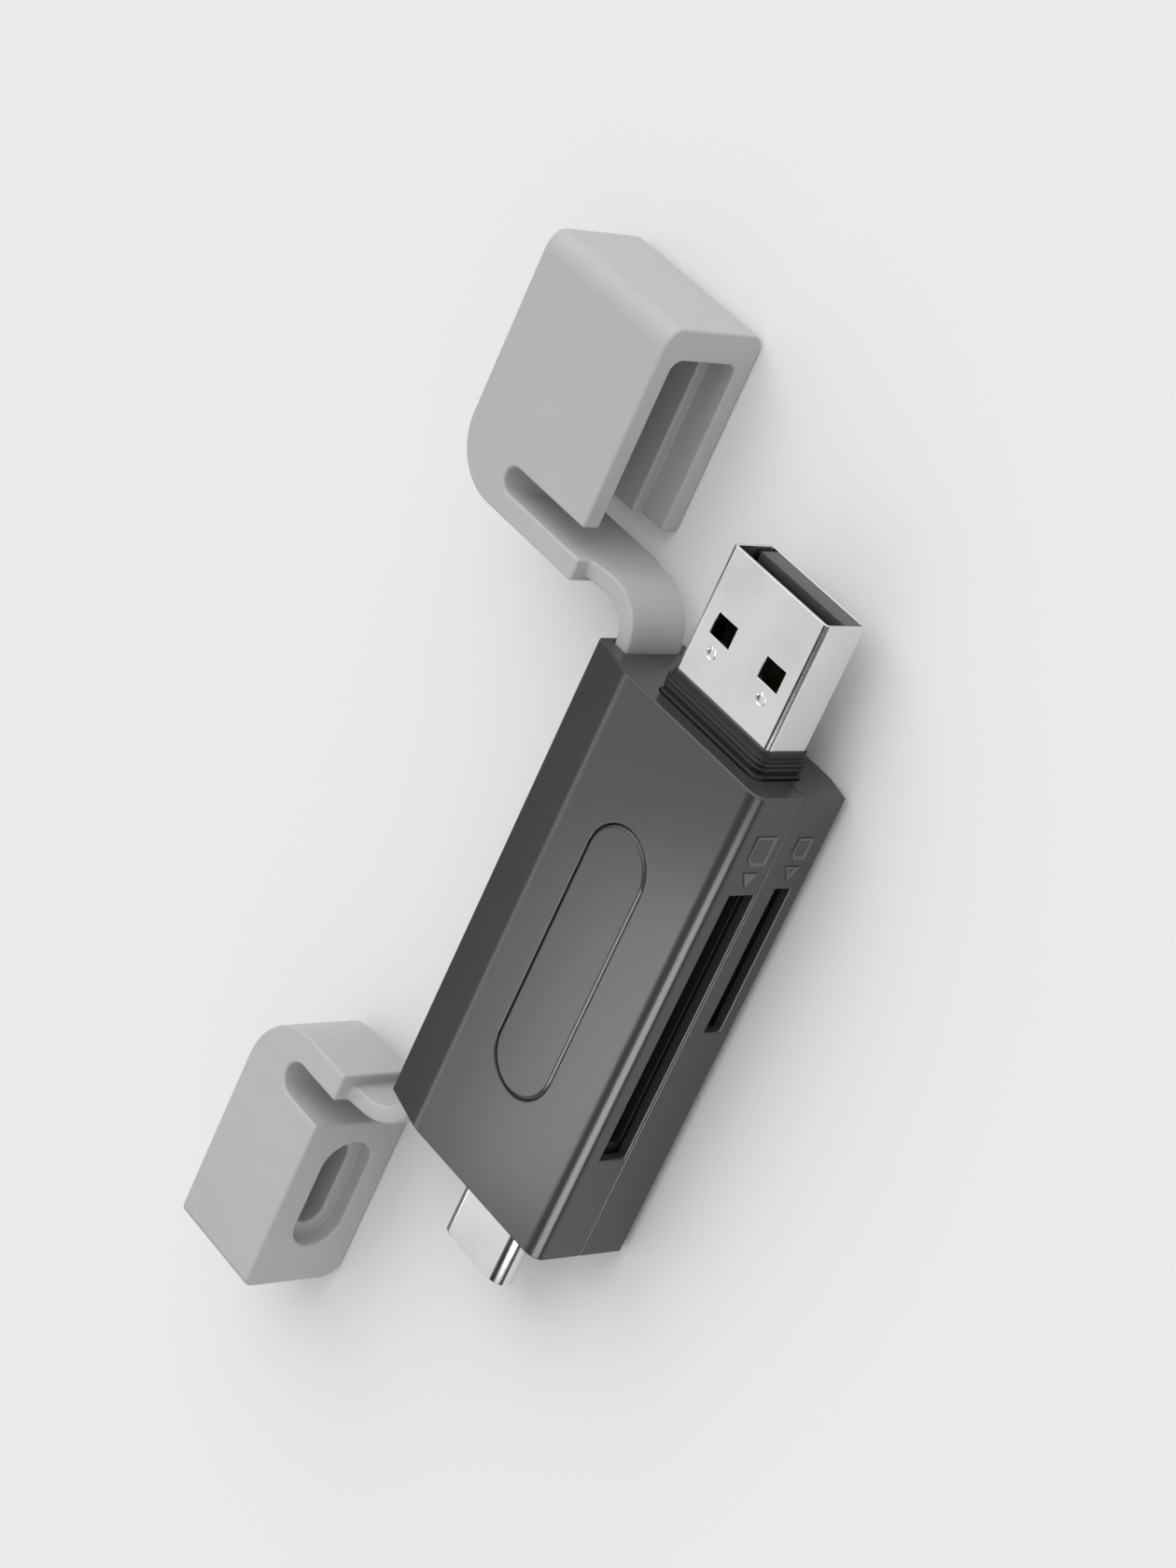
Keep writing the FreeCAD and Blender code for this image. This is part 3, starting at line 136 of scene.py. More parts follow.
class ReaderNeckSizes(bpy.types.PropertyGroup):
    """The bent neck between the housing and each cap."""
    thick: length("Thickness", "Thickness of the neck", 1.57)
    bend: length("Bend", "Inside radius of the bend", 3.13)
    straight: length("Straight", "Straight stretch between bend and strap", 1.77)
    back: length("Back edge", "Height of the back edge at the end face", 1.95)
    front: length("Front edge", "Height of the front edge at the end face", 8.05)
    wide_back: length("Wide back edge", "Height of the back edge at the strap", 1.6)
    wide_front: length("Wide front edge", "Height of the front edge at the strap", 8.95)
    head: length("Head", "Length of the hidden head", 2.2)
    head_extra: length("Head step", "How far the head is wider than the neck", 0.6)
    soft: length("Soft edge", "Rounding of all the rubber edges", 0.25)
    inside: length("Inside edges", "Rounding of the inward corners", 0.12)
    root: length("Root", "Rounding where the neck runs into the strap", 0.5)
    steps: IntProperty(name="Bend steps", description="Faces round the bend", default=28, min=8, max=80)


class ReaderWideCapSizes(bpy.types.PropertyGroup):
    """Cap of the wide plug."""
    strap: length("Strap", "Thickness of the strap", 2.0)
    gap: length("Slot", "Width of the slot between strap and cap", 2.3)
    slot: length("Slot length", "From the start of the strap to the closed end", 11.2)
    setback: length("Setback", "Mouth face behind the start of the strap", 1.0)
    bend: length("Bend", "Outer radius where the strap becomes the cap", 5.4)
    front_edge: length("Front edge", "Rounding of the long outer edge in front", 1.3)
    roll_off: length("Roll off", "How far the front edge rolls off across the front", 2.1)
    back_edge: length("Back edge", "Rounding of the long outer edge behind", 1.4)
    thinned: length("Thinned strap", "How far the strap's back stays clear of the table", 2.6)
    back_wall: length("Back wall", "Wall behind the mouth", 1.7)
    front_wall: length("Front wall", "Wall in front of the mouth", 1.8)
    top_wall: length("Top wall", "Wall on the outer long side", 2.8)
    recess: length("Mouth depth", "Depth of the wider mouth", 3.0)
    ledge: length("Ledge", "How much the back wall is thicker past the mouth", 0.9)
    depth: length("Depth", "Whole depth of the cavity", 14.0)
    corner: length("Cavity corners", "Corner radius of the cavity", 1.0)


class ReaderSlimCapSizes(bpy.types.PropertyGroup):
    """Cap of the slim plug."""
    strap: length("Strap", "Thickness of the strap", 2.6)
    gap: length("Slot", "Width of the slot between strap and cap", 3.2)
    slot: length("Slot length", "From the start of the strap to the closed end", 6.5)
    setback: length("Setback", "Mouth face behind the start of the strap", 0.6)
    bend: length("Bend", "Outer radius where the strap becomes the cap", 6.0)
    front_edge: length("Front edge", "Rounding of the long outer edge in front", 0.9)
    roll_off: length("Roll off", "How far the front edge rolls off across the front", 0.9)
    back_edge: length("Back edge", "Rounding of the long outer edge behind", 1.8)
    thinned: length("Thinned strap", "How far the strap's back stays clear of the table", 3.0)
    hole_side: length("Hole place", "Centre of the hole from the slot", 7.95)
    hole_height: length("Hole height", "Height of the hole's centre", 4.95)
    mouth_width: length("Mouth width", "Long side of the hole's wider mouth", 11.4)
    mouth_thick: length("Mouth thickness", "Short side of the hole's wider mouth", 5.2)
    recess: length("Mouth depth", "Depth of the wider mouth", 1.6)
    hole_width: length("Hole width", "Long side of the hole for the plug", 8.75)
    hole_thick: length("Hole thickness", "Short side of the hole for the plug", 2.9)
    depth: length("Depth", "Whole depth of the hole", 8.4)


class ReaderColours(bpy.types.PropertyGroup):
    """Colours of the finishes."""
    housing: colour("Housing", "Dark grey moulded plastic", (0.042, 0.042, 0.0425))
    panel: colour("Panel", "Oval panel", (0.043, 0.043, 0.0435))
    sign: colour("Signs", "Raised signs beside the card slots", (0.1, 0.1, 0.101))
    rubber: colour("Rubber", "Light grey caps", (0.436, 0.454, 0.446))
    collar: colour("Collar", "Black plug collars", (0.008, 0.008, 0.0085))
    black: colour("Insulator", "Black socket and plug insulators", (0.01, 0.01, 0.0105))
    tongue: colour("Tongue", "Contact tongue of the wide plug", (0.075, 0.075, 0.076))
    steel: colour("Plug steel", "Nickel plated plug shells", (0.75, 0.75, 0.755))
    cover: colour("Socket steel", "Sheet of the card sockets", (0.5, 0.5, 0.51))
    gold: colour("Contacts", "Gilt contacts", (0.83, 0.62, 0.3))
    # Painted shade: the spring contacts are made nearly black so that the wide plug's windows look dark.
    spring: colour("Spring contacts", "Dark spring contacts", (0.05, 0.04, 0.028))
    board: colour("Board", "Solder mask of the circuit board", (0.012, 0.075, 0.04))
    ceramic: colour("Capacitors", "Ceramic capacitors", (0.4, 0.29, 0.19))
    floor: colour("Floor", "Pale floor and background", (0.83, 0.83, 0.83))


class ReaderStage(bpy.types.PropertyGroup):
    """Floor, lamps and camera."""
    floor: length("Floor", "Width of the square floor", 3000.0)
    drop: length("Floor drop", "How far the floor lies under the reader", 0.05)
    sky: share("Sky", "Strength of the even light from all sides", 0.72, 2.0)
    key: share("Key light", "Light that a surface facing the key lamp gains", 0.5, 5.0)
    spread: turn("Key spread", "Angle that the key lamp covers, which softens the shadow", 80.0)
    key_from: FloatVectorProperty(name="Key direction", description="Where the key lamp shines from",
                                  default=(-0.2, 0.8, 0.56), subtype="DIRECTION")
    front: share("Front lamp", "Brightness of the lamp that the front mirrors", 2.4, 20.0)
    edge: share("Edge lamp", "Brightness of the lamp that the long rounded edge mirrors", 6.0, 20.0)
    ridge: share("Ridge lamp", "Brightness of the lamp mirrored beside the sloped strip", 2.2, 20.0)
    near: length("Near lamps", "Distance of the lamps, which hang close over the reader", 80.0)
    far: length("Far cards", "Distance of the dark cards", 500.0)
    cards: length("Card width", "Width of the dark cards along the reader", 700.0)
    camera: spot("Camera place", "Where the camera stands", (0.1901, 0.1502, 0.2373))
    aim: spot("Camera aim", "Point in the middle of the picture", (-0.00953, 0.00964, 0.005))
    roll: turn("Camera roll", "Turn of the camera about its own axis", -90.869)
    lens: FloatProperty(name="Lens", description="Focal length on a 36 mm sensor", default=95.48, min=1.0,
                        unit="CAMERA")


# Node helpers

def feed(tree, node, inputs):
    """Fill a node's inputs, named or numbered, with values or with other nodes' sockets."""
    for key, value in inputs.items():
        if isinstance(value, bpy.types.NodeSocket):
            tree.links.new(value, node.inputs[key])
        else:
            node.inputs[key].default_value = value


def add(tree, kind, inputs=None, **settings):
    """Add a shader node with its settings and inputs."""
    node = tree.nodes.new("ShaderNode" + kind)
    for key, value in settings.items():
        setattr(node, key, value)
    feed(tree, node, inputs or {})
    return node


def reckon(tree, operation, a, b):
    """Sum, difference and the like of two values or sockets."""
    return add(tree, "Math", {0: a, 1: b}, operation=operation).outputs[0]


def times(tree, a, b):
    return reckon(tree, "MULTIPLY", a, b)


def ramp(tree, value, low, high, to_low=0.0, to_high=1.0):
    """Straight change of one range of values into another."""
    return add(tree, "MapRange", {"Value": value, "From Min": low, "From Max": high, "To Min": to_low,
                                  "To Max": to_high}).outputs["Result"]


def mix(tree, factor, a, b):
    """Blend of two colours."""
    return add(tree, "Mix", {0: factor, 6: a, 7: b}, data_type="RGBA").outputs[2]


def here(tree):
    """The place on the object, in the object's own coordinates."""
    return add(tree, "TexCoord").outputs["Object"]


def noise(tree, place, scale, detail, **more):
    return add(tree, "TexNoise", {"Vector": place, "Scale": scale, "Detail": detail, **more}).outputs["Fac"]


def relief(tree, height, depth, strength=1.0):
    """Normal of a surface with a texture's height on it; the depth is in millimetres."""
    return add(tree, "Bump", {"Height": height, "Distance": depth * MM, "Strength": strength}).outputs[0]


def new_effect(name, inputs, outputs):
    """Empty node group with named numbers; gives the tree, its inputs and its output node."""
    tree = bpy.data.node_groups.new(name, "ShaderNodeTree")
    for title, value in inputs.items():
        socket = tree.interface.new_socket(title, in_out="INPUT", socket_type="NodeSocketFloat")
        socket.default_value = value
    for title in outputs:
        tree.interface.new_socket(title, in_out="OUTPUT", socket_type="NodeSocketFloat")
    return tree, tree.nodes.new("NodeGroupInput").outputs, tree.nodes.new("NodeGroupOutput")


def effect(tree, name, **values):
    """Place one of the shared effects in a material; it is made when it is first asked for."""
    if name not in bpy.data.node_groups:
        EFFECTS[name]()
    return add(tree, "Group", {key.capitalize(): value for key, value in values.items()},
               node_tree=bpy.data.node_groups[name]).outputs


def make_edge_wear():
    """Mask of the outer edges, broken up so that it isn't an even outline."""
    tree, given, out = new_effect("Edge wear", {"Width": 0.2 * MM, "Breakup": 900.0}, ["Mask"])
    rounded = add(tree, "Bevel", {"Radius": given["Width"]}, samples=6).outputs[0]
    plain = add(tree, "NewGeometry").outputs["Normal"]
    alike = add(tree, "VectorMath", {0: rounded, 1: plain}, operation="DOT_PRODUCT").outputs["Value"]
    broken = noise(tree, here(tree), given["Breakup"], 5.0, Roughness=0.65)
    feed(tree, out, {"Mask": times(tree, ramp(tree, alike, low=0.985, high=0.86),
                                   ramp(tree, broken, low=0.42, high=0.62))})


def make_grain():
    """Fine moulded texture: tight grain, wide flow marks and a few rubbed patches."""
    tree, given, out = new_effect("Moulded grain", {"Fine": 6500.0, "Coarse": 260.0},
                                  ["Height", "Flow", "Rubbed"])
    place = here(tree)
    fine = noise(tree, place, given["Fine"], 3.0)
    cells = add(tree, "TexVoronoi", {"Vector": place, "Scale": given["Fine"]}).outputs["Distance"]
    flow = noise(tree, place, given["Coarse"], 4.0, Distortion=0.6)
    rubbed = noise(tree, place, times(tree, given["Coarse"], 0.4), 6.0, Roughness=0.7)
    feed(tree, out, {"Height": reckon(tree, "ADD", times(tree, fine, 0.7), times(tree, cells, 0.3)),
                     "Flow": ramp(tree, flow, low=0.3, high=0.7),
                     "Rubbed": ramp(tree, rubbed, low=0.55, high=0.75)})


def make_brushing():
    """Fine lines along the length, with a few longer scratches and faint smudges."""
    tree, given, out = new_effect("Brushed sheet", {"Lines": 30000.0, "Stretch": 0.02},
                                  ["Height", "Scratch", "Smudge"])
    place = here(tree)
    stretch = add(tree, "CombineXYZ", {"X": 1.0, "Y": given["Stretch"], "Z": 1.0}).outputs[0]
    drawn = add(tree, "VectorMath", {0: place, 1: stretch}, operation="MULTIPLY").outputs[0]
    slanted = add(tree, "Mapping", {"Vector": place, "Rotation": (0.0, 0.0, 0.5),
                                    "Scale": (1.0, 0.05, 1.0)}).outputs[0]
    scratch = noise(tree, slanted, 5200.0, 2.0)
    smudge = noise(tree, place, 210.0, 5.0)
    feed(tree, out, {"Height": noise(tree, drawn, given["Lines"], 3.0),
                     "Scratch": ramp(tree, scratch, low=0.69, high=0.74),
                     "Smudge": ramp(tree, smudge, low=0.4, high=0.7)})


EFFECTS = {"Edge wear": make_edge_wear, "Moulded grain": make_grain, "Brushed sheet": make_brushing}


# Finishes

def tint(paint, factor=1.0):
    """A colour made lighter or darker, with the fourth value that colour sockets take."""
    return tuple(min(1.0, c * factor) for c in paint) + (1.0,)


def new_material(name):
    """Material with an empty Principled surface; gives the material, its tree and the shader."""
    material = bpy.data.materials.new(name)
    material.use_nodes = True
    tree = material.node_tree
    return material, tree, tree.nodes["Principled BSDF"]


def moulded(tree, shader, paint, roughness=0.45, bump=0.004, wear=0.25, worn_tint=1.9, grain=6500.0,
            variation=0.02, patchy=0.006, specular=0.5, fade=(), painted_shade_tint=0.1):
    """Moulded plastic or rubber: grain, flow marks, rubbed patches and lighter worn edges.
    With a span along Y it darkens from the first place to the second: painted shade, as deep in an opening."""
    marks = effect(tree, "Moulded grain", fine=grain)
    worn = times(tree, effect(tree, "Edge wear")["Mask"], wear)
    body = mix(tree, marks["Flow"], tint(paint, 1 - variation), tint(paint, 1 + variation))
    shown = mix(tree, worn, body, tint(paint, worn_tint))
    # Painted shade: the colour darkens along Y towards the inside of an opening, where shade falls.
    if fade:
        along = add(tree, "SeparateXYZ", {0: here(tree)}).outputs["Y"]
        shown = mix(tree, ramp(tree, along, *fade), shown, tint(paint, painted_shade_tint))
    rough = ramp(tree, marks["Flow"], 0.0, 1.0, roughness - patchy, roughness + patchy)
    rough = reckon(tree, "SUBTRACT", rough, times(tree, marks["Rubbed"], patchy * 2))
    feed(tree, shader, {"Base Color": shown, "Roughness": rough, "Specular IOR Level": specular,
                        "Normal": relief(tree, marks["Height"], bump)})


def sheet_metal(tree, shader, paint, roughness=0.17, lines=30000.0, stretch=0.02, bump=0.0012, wear=0.3,
                worn_tint=1.15, smudged=0.06, scratched=0.12):
    """Plated sheet: fine drawing lines, stray scratches and smudges in the gloss."""
    marks = effect(tree, "Brushed sheet", lines=lines, stretch=stretch)
    worn = times(tree, effect(tree, "Edge wear", width=0.12 * MM)["Mask"], wear)
    body = mix(tree, marks["Smudge"], tint(paint, 1.02), tint(paint, 0.93))
    rough = ramp(tree, marks["Smudge"], 0.0, 1.0, roughness, roughness + smudged)
    rough = reckon(tree, "ADD", rough, times(tree, marks["Scratch"], scratched))
    feed(tree, shader, {"Base Color": mix(tree, worn, body, tint(paint, worn_tint)), "Roughness": rough,
                        "Metallic": 1.0, "Normal": relief(tree, marks["Height"], bump)})


def solder_mask(tree, shader, paint, track_tint=1.7):
    """Board with tracks showing as slightly raised, lighter lines under the green."""
    tracks = add(tree, "TexBrick", {"Vector": here(tree), "Scale": 500.0, "Mortar Size": 0.06,
                                    "Brick Width": 1.4, "Row Height": 0.35}).outputs["Fac"]
    flow = effect(tree, "Moulded grain", fine=3000.0)["Flow"]
    feed(tree, shader, {"Base Color": mix(tree, tracks, tint(paint), tint(paint, track_tint)),
                        "Roughness": ramp(tree, flow, 0.0, 1.0, 0.3, 0.42),
                        "Normal": relief(tree, tracks, 0.02, 0.6)})


FINISHES = {
    "Housing plastic": (moulded, "housing", {"roughness": 0.25, "bump": 0.0025, "specular": 0.65}),
    "Panel plastic": (moulded, "panel", {"roughness": 0.28, "specular": 0.65, "grain": 5200.0}),
    "Sign plastic": (moulded, "sign", {"roughness": 0.4, "specular": 0.8}),
    "Cap rubber": (moulded, "rubber", {"roughness": 0.55, "bump": 0.006, "wear": 0.12, "grain": 4200.0,
                                       "patchy": 0.03, "specular": 0.4}),
    "Collar plastic": (moulded, "collar", {"roughness": 0.35, "wear": 0.1}),
    "Insulator plastic": (moulded, "black", {"roughness": 0.5, "wear": 0.1}),
    # The tongue's colour darkens with depth inside the plug: painted shade.
    "Tongue plastic": (moulded, "tongue", {"roughness": 0.5, "wear": 0.1,
                                           "fade": (35.93 * MM, 35.0 * MM)}),
    "Chip resin": (moulded, "black", {"roughness": 0.55, "grain": 9000.0, "wear": 0.3}),
    "Capacitor ceramic": (moulded, "ceramic", {"grain": 9000.0}),
    "Plug steel": (sheet_metal, "steel", {}),
    "Socket steel": (sheet_metal, "cover", {"roughness": 0.34, "stretch": 1.0, "lines": 9000.0}),
    "Gilt contacts": (sheet_metal, "gold", {"roughness": 0.22}),
    "Spring contacts": (sheet_metal, "spring", {"roughness": 0.4}),
    "Solder mask": (solder_mask, "board", {}),
    "Black cloth": (moulded, "black", {"roughness": 0.9}),
}


def finish_named(name):
    """One of the finishes above, made when it is first asked for."""
    if name in bpy.data.materials:
        return bpy.data.materials[name]
    maker, paint, settings = FINISHES[name]
    material, tree, shader = new_material(name)
    maker(tree, shader, getattr(bpy.context.scene.reader_colours, paint), **settings)
    return material


# Mesh helpers

def in_scene(name, data):
    """New object in the scene that shows a mesh, a lamp or a camera."""
    made = bpy.data.objects.new(name, data)
    bpy.context.scene.collection.objects.link(made)
    return made


def object_of(name, bm):
    """New object in the scene made of a bmesh, which is used up."""
    mesh = bpy.data.meshes.new(name)
    bm.to_mesh(mesh)
    bm.free()
    return in_scene(name, mesh)


def of_kind(parts, kind):
    return [part for part in parts if isinstance(part, kind)]


def cleaned(bm, gap, angle):
    """Join points closer than the gap and dissolve edges that bend less than the angle."""
    bmesh.ops.remove_doubles(bm, verts=bm.verts, dist=gap)
    bmesh.ops.dissolve_limit(bm, angle_limit=angle, verts=bm.verts, edges=bm.edges)
    return bm


def merged_copy(node):
    """A CAD node's mesh as a bmesh with its loose triangles joined and flat areas made one face."""
    bm = bmesh.new()
    bm.from_mesh(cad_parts[node].data)
    return cleaned(bm, WELD, math.radians(0.5))


def bevelled(bm, part, radius, affect, segments):
    """Round one edge or one corner; gives what the operator made."""
    return bmesh.ops.bevel(bm, geom=[part], offset=radius, offset_type="OFFSET", affect=affect,
                           segments=segments, profile=0.5, material=-1)


def widen(bm, verts, factors, centre):
    """Scale points about a centre."""
    bmesh.ops.scale(bm, vec=factors, space=Matrix.Translation(-centre), verts=verts)


def turned(bm, matrix):
    """Turn and move a bmesh."""
    bmesh.ops.transform(bm, matrix=matrix, verts=bm.verts)
    bmesh.ops.recalc_face_normals(bm, faces=bm.faces)
    return bm


def onwards(bm, face, shift):
    """Extrude one face by a shift and give the new end face."""
    made = bmesh.ops.extrude_face_region(bm, geom=[face, *face.edges, *face.verts])["geom"]
    bmesh.ops.translate(bm, vec=shift, verts=of_kind(made, BMVert))
    return of_kind(made, BMFace)[0]


def at_x(bm, x):
    """Faces that lie flat at one x."""
    return [f for f in bm.faces if all(abs(v.co.x - x) < TINY for v in f.verts)]


def weigh_edges(bm, radius, places):
    """Bevel weights for all sharp edges; gives the widest radius. Places are (test, radius) pairs."""
    layer = bm.edges.layers.float.new("bevel_weight_edge")
    chosen = {}
    for edge in bm.edges:
        if len(edge.link_faces) == 2 and edge.calc_face_angle(0.0) > SHARP:
            middle = (edge.verts[0].co + edge.verts[1].co) / 2
            chosen[edge] = next((r for test, r in places if test(middle, edge)), radius)
    widest = max(chosen.values())
    for edge, value in chosen.items():
        edge[layer] = value / widest
    return widest


def put(name, bm, finish, nodes=(), body=None):
    """Make an object of a bmesh, smooth it, give it its finish and let it stand for CAD nodes."""
    piece = object_of(name, bm)
    piece.data.materials.append(finish_named(finish))
    piece.data.shade_smooth()
    piece.data.set_sharp_from_angle(angle=SHARP)
    if nodes:
        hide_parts(*nodes)
    if body:
        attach(piece, body)
    return piece


def round_off(piece, width, segments, weighted=False):
    """Round the edges with live modifiers and keep the flat faces flat in the shading."""
    bevel = piece.modifiers.new("rounded edges", "BEVEL")
    bevel.width, bevel.segments, bevel.use_clamp_overlap = width, segments, False
    bevel.limit_method = "WEIGHT" if weighted else "ANGLE"
    bevel.angle_limit = SHARP
    even = piece.modifiers.new("even shading", "WEIGHTED_NORMAL")
    even.keep_sharp = False


def dressed(node, finish, edge, shape=None):
    """Rounded stand-in for one hard CAD node of the housing; shape may change its copied mesh first."""
    bm = merged_copy(node)
    if shape:
        shape(bm)
    round_off(put(node + "_shown", bm, finish, [node], "housing"), edge, 2)


def refinish(node, finish):
    """Give a CAD node that is shown as it is a better material."""
    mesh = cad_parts[node].data
    if not mesh.materials:
        mesh.materials.append(None)
    for index in range(len(mesh.materials)):
        mesh.materials[index] = finish_named(finish)


def solid_from(corners, low, high):
    """Prism between two heights from corners (x, y, radius); the corner radii become arcs."""
    bm = bmesh.new()
    verts = [bm.verts.new((x, y, low)) for x, y, _ in corners]
    bm.faces.new(verts)
    for vert, (_, _, radius) in zip(verts, corners):
        if radius > 0:
            bevelled(bm, vert, radius, "VERTICES", max(FEWEST_FACES, round(radius / MM * FACES_PER_MM)))
    bmesh.ops.remove_doubles(bm, verts=bm.verts, dist=WELD)
    raised = bmesh.ops.extrude_face_region(bm, geom=list(bm.faces))["geom"]
    bmesh.ops.translate(bm, vec=(0, 0, high - low), verts=of_kind(raised, BMVert))
    bmesh.ops.recalc_face_normals(bm, faces=bm.faces)
    return bm


def hollowed(base, tools):
    """Cut closed bmeshes out of another; gives a new bmesh without needless edges on flat areas."""
    holders = [object_of("working_shape", bm) for bm in (base, *tools)]
    for tool in holders[1:]:
        step = holders[0].modifiers.new("step", "BOOLEAN")
        step.operation, step.object, step.solver = "DIFFERENCE", tool, "EXACT"
    bpy.context.view_layer.update()
    made = bpy.data.meshes.new_from_object(holders[0].evaluated_get(bpy.context.evaluated_depsgraph_get()))
    result = bmesh.new()
    result.from_mesh(made)
    for holder in holders:
        bpy.data.objects.remove(holder)
    return cleaned(result, 2 * WELD, math.radians(0.2))


# Rubber mouldings, all built for the wide plug's side and mirrored for the other

ACROSS = Matrix(((0, 0, 1, 0), (1, 0, 0, 0), (0, 1, 0, 0), (0, 0, 0, 1)))     # drawn (y, z), raised along x
THROUGH = 0.02 * MM                 # how far the wide cavity cuts past the wall that it opens
OUT = 1.0 * MM                      # how far the hollows reach out of their mouths


def far_side_box(node):
    """Box of a node as if it were on the wide plug's side."""
    low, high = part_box(node)
    if high.y < 0:
        low.y, high.y = -high.y, -low.y
    return low, high


def cap_body(size, node):
    """Strap, slot and cap as one outline; the strap's back slopes away, the long outer edges are round."""
    low, high = far_side_box(node)
    inner, outer = low.y + size.strap, low.y + size.strap + size.gap
    mouth, closed = high.x - size.setback, high.x - size.slot
    outline = [(high.x, low.y, 0), (high.x, inner, 0), (closed, inner, size.gap / 2),
               (closed, outer, size.gap / 2), (mouth, outer, 0), (mouth, high.y, 0), (low.x, high.y, 0),
               (low.x, low.y, size.bend)]
    bm = solid_from(outline, low.z, high.z)
    start = outer - size.gap / 4        # the slope starts in the slot, a quarter of its width from the cap
    slope = Vector((0, size.thinned, start - low.y)).normalized()
    cut = bmesh.ops.bisect_plane(bm, geom=[*bm.verts, *bm.edges, *bm.faces], dist=TINY, clear_inner=True,
                                 plane_co=(0, start, low.z), plane_no=slope)["geom_cut"]
    bmesh.ops.edgeloop_fill(bm, edges=of_kind(cut, BMEdge))
    for z, radius, reach in ((low.z, size.back_edge, size.back_edge),
                             (high.z, size.front_edge, size.roll_off)):
        corner = Vector((high.y, z))
        edge = next(e for e in bm.edges if all((v.co.yz - corner).length < TINY for v in e.verts))
        made = bevelled(bm, edge, radius, "EDGES", LONG_EDGE_FACES)["verts"]
        widen(bm, made, (1, reach / radius, 1), Vector((0, high.y, 0)))
    bmesh.ops.recalc_face_normals(bm, faces=bm.faces)
    return bm


def grow_neck(bm, size, node):
    """Grow the neck out of the strap's end: straight, round the bend, and on to the head in the housing."""
    low, high = far_side_box(node)
    right = high.x - size.head_extra
    left = right - size.thick
    inner = high.y - size.thick
    halfway = high.z / 2
    centre = Vector((low.x + size.straight, inner - size.bend, 0))
    for place, normal in (((0, inner, 0), (0, 1, 0)), ((0, 0, size.wide_back), (0, 0, 1)),
                          ((0, 0, size.wide_front), (0, 0, 1))):
        cut = at_x(bm, low.x)
        parts = dict.fromkeys([*cut, *(e for f in cut for e in f.edges), *(v for f in cut for v in f.verts)])
        bmesh.ops.bisect_plane(bm, geom=list(parts), dist=TINY, plane_co=place, plane_no=normal)
    end = next(f for f in at_x(bm, low.x) if f.calc_center_median().y > inner and
               size.wide_back < f.calc_center_median().z < size.wide_front)
    strap = set(bm.verts)
    end = onwards(bm, end, (size.straight, 0, 0))
    spun = bmesh.ops.spin(bm, geom=[end, *end.verts, *end.edges], cent=centre, axis=(0, 0, -1),
                          angle=math.pi / 2, steps=size.steps)["geom_last"]
    end = onwards(bm, of_kind(spun, BMFace)[0], (0, low.y + size.head - centre.y, 0))
    for vert in set(bm.verts) - strap:
        along = min(1.0, (vert.co.x - low.x) / (left - low.x))
        if vert.co.z > halfway:
            vert.co.z += along * (size.front - size.wide_front)
        else:
            vert.co.z += along * (size.back - size.wide_back)
    end = onwards(bm, end, (0, 0, 0))
    for vert in end.verts:
        if vert.co.x > right - TINY:
            vert.co.x = high.x
        vert.co.z += size.head_extra if vert.co.z > halfway else -size.head_extra
    onwards(bm, end, (0, -size.head, 0))
    bmesh.ops.dissolve_degenerate(bm, dist=TINY, edges=bm.edges)
    bmesh.ops.recalc_face_normals(bm, faces=bm.faces)


def rubber_piece(name, bm, side, neck, nodes):
    """Round the edges, mirror where needed, and make the rubber piece in place of the cap and neck nodes."""
    low, high = far_side_box(nodes[1])

    def root(middle, edge):
        ends = [vert.co for vert in edge.verts]
        return abs(middle.x - low.x) < TINY and not edge.is_convex and abs(ends[0].y - ends[1].y) > MM

    def inside(middle, edge):
        return not edge.is_convex

    widest = weigh_edges(bm, neck.soft, [(root, neck.root), (inside, neck.inside)])
    if side < 0:
        bmesh.ops.scale(bm, vec=(1, -1, 1), verts=bm.verts)
        bmesh.ops.reverse_faces(bm, faces=bm.faces)
    piece = put(name, bm, "Cap rubber", nodes)
    round_off(piece, widest, 4, weighted=True)
    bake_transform(piece)


class READER_OT_wide_cap(bpy.types.Operator):
    """Model the cap of the wide plug with its slotted strap and neck"""
    bl_idname = "reader.wide_cap"
    bl_label = "Wide plug's cap"

    def execute(self, context):
        size, neck = context.scene.reader_wide_cap, context.scene.reader_neck
        low, high = far_side_box("wide_plug_cap")
        outer = low.y + size.strap + size.gap - THROUGH
        mouth = high.x - size.setback
        front, top = high.z - size.front_wall, high.y - size.top_wall
        section = [(outer, size.back_wall, 0), (top, size.back_wall, size.corner),
                   (top, front, size.corner), (outer, front, 0)]
        hollow = turned(solid_from(section, mouth - size.recess, mouth + OUT), ACROSS)
        end = onwards(hollow, at_x(hollow, mouth - size.recess)[0], (0, 0, 0))
        for vert in end.verts:
            if vert.co.z < (size.back_wall + front) / 2:
                vert.co.z += size.ledge
        onwards(hollow, end, (size.recess - size.depth, 0, 0))
        bmesh.ops.dissolve_degenerate(hollow, dist=TINY, edges=hollow.edges)
        bmesh.ops.recalc_face_normals(hollow, faces=hollow.faces)
        bm = hollowed(cap_body(size, "wide_plug_cap"), [hollow])
        grow_neck(bm, neck, "wide_cap_neck")
        rubber_piece("wide_cap_moulding", bm, 1, neck, ["wide_plug_cap", "wide_cap_neck"])
        return {"FINISHED"}


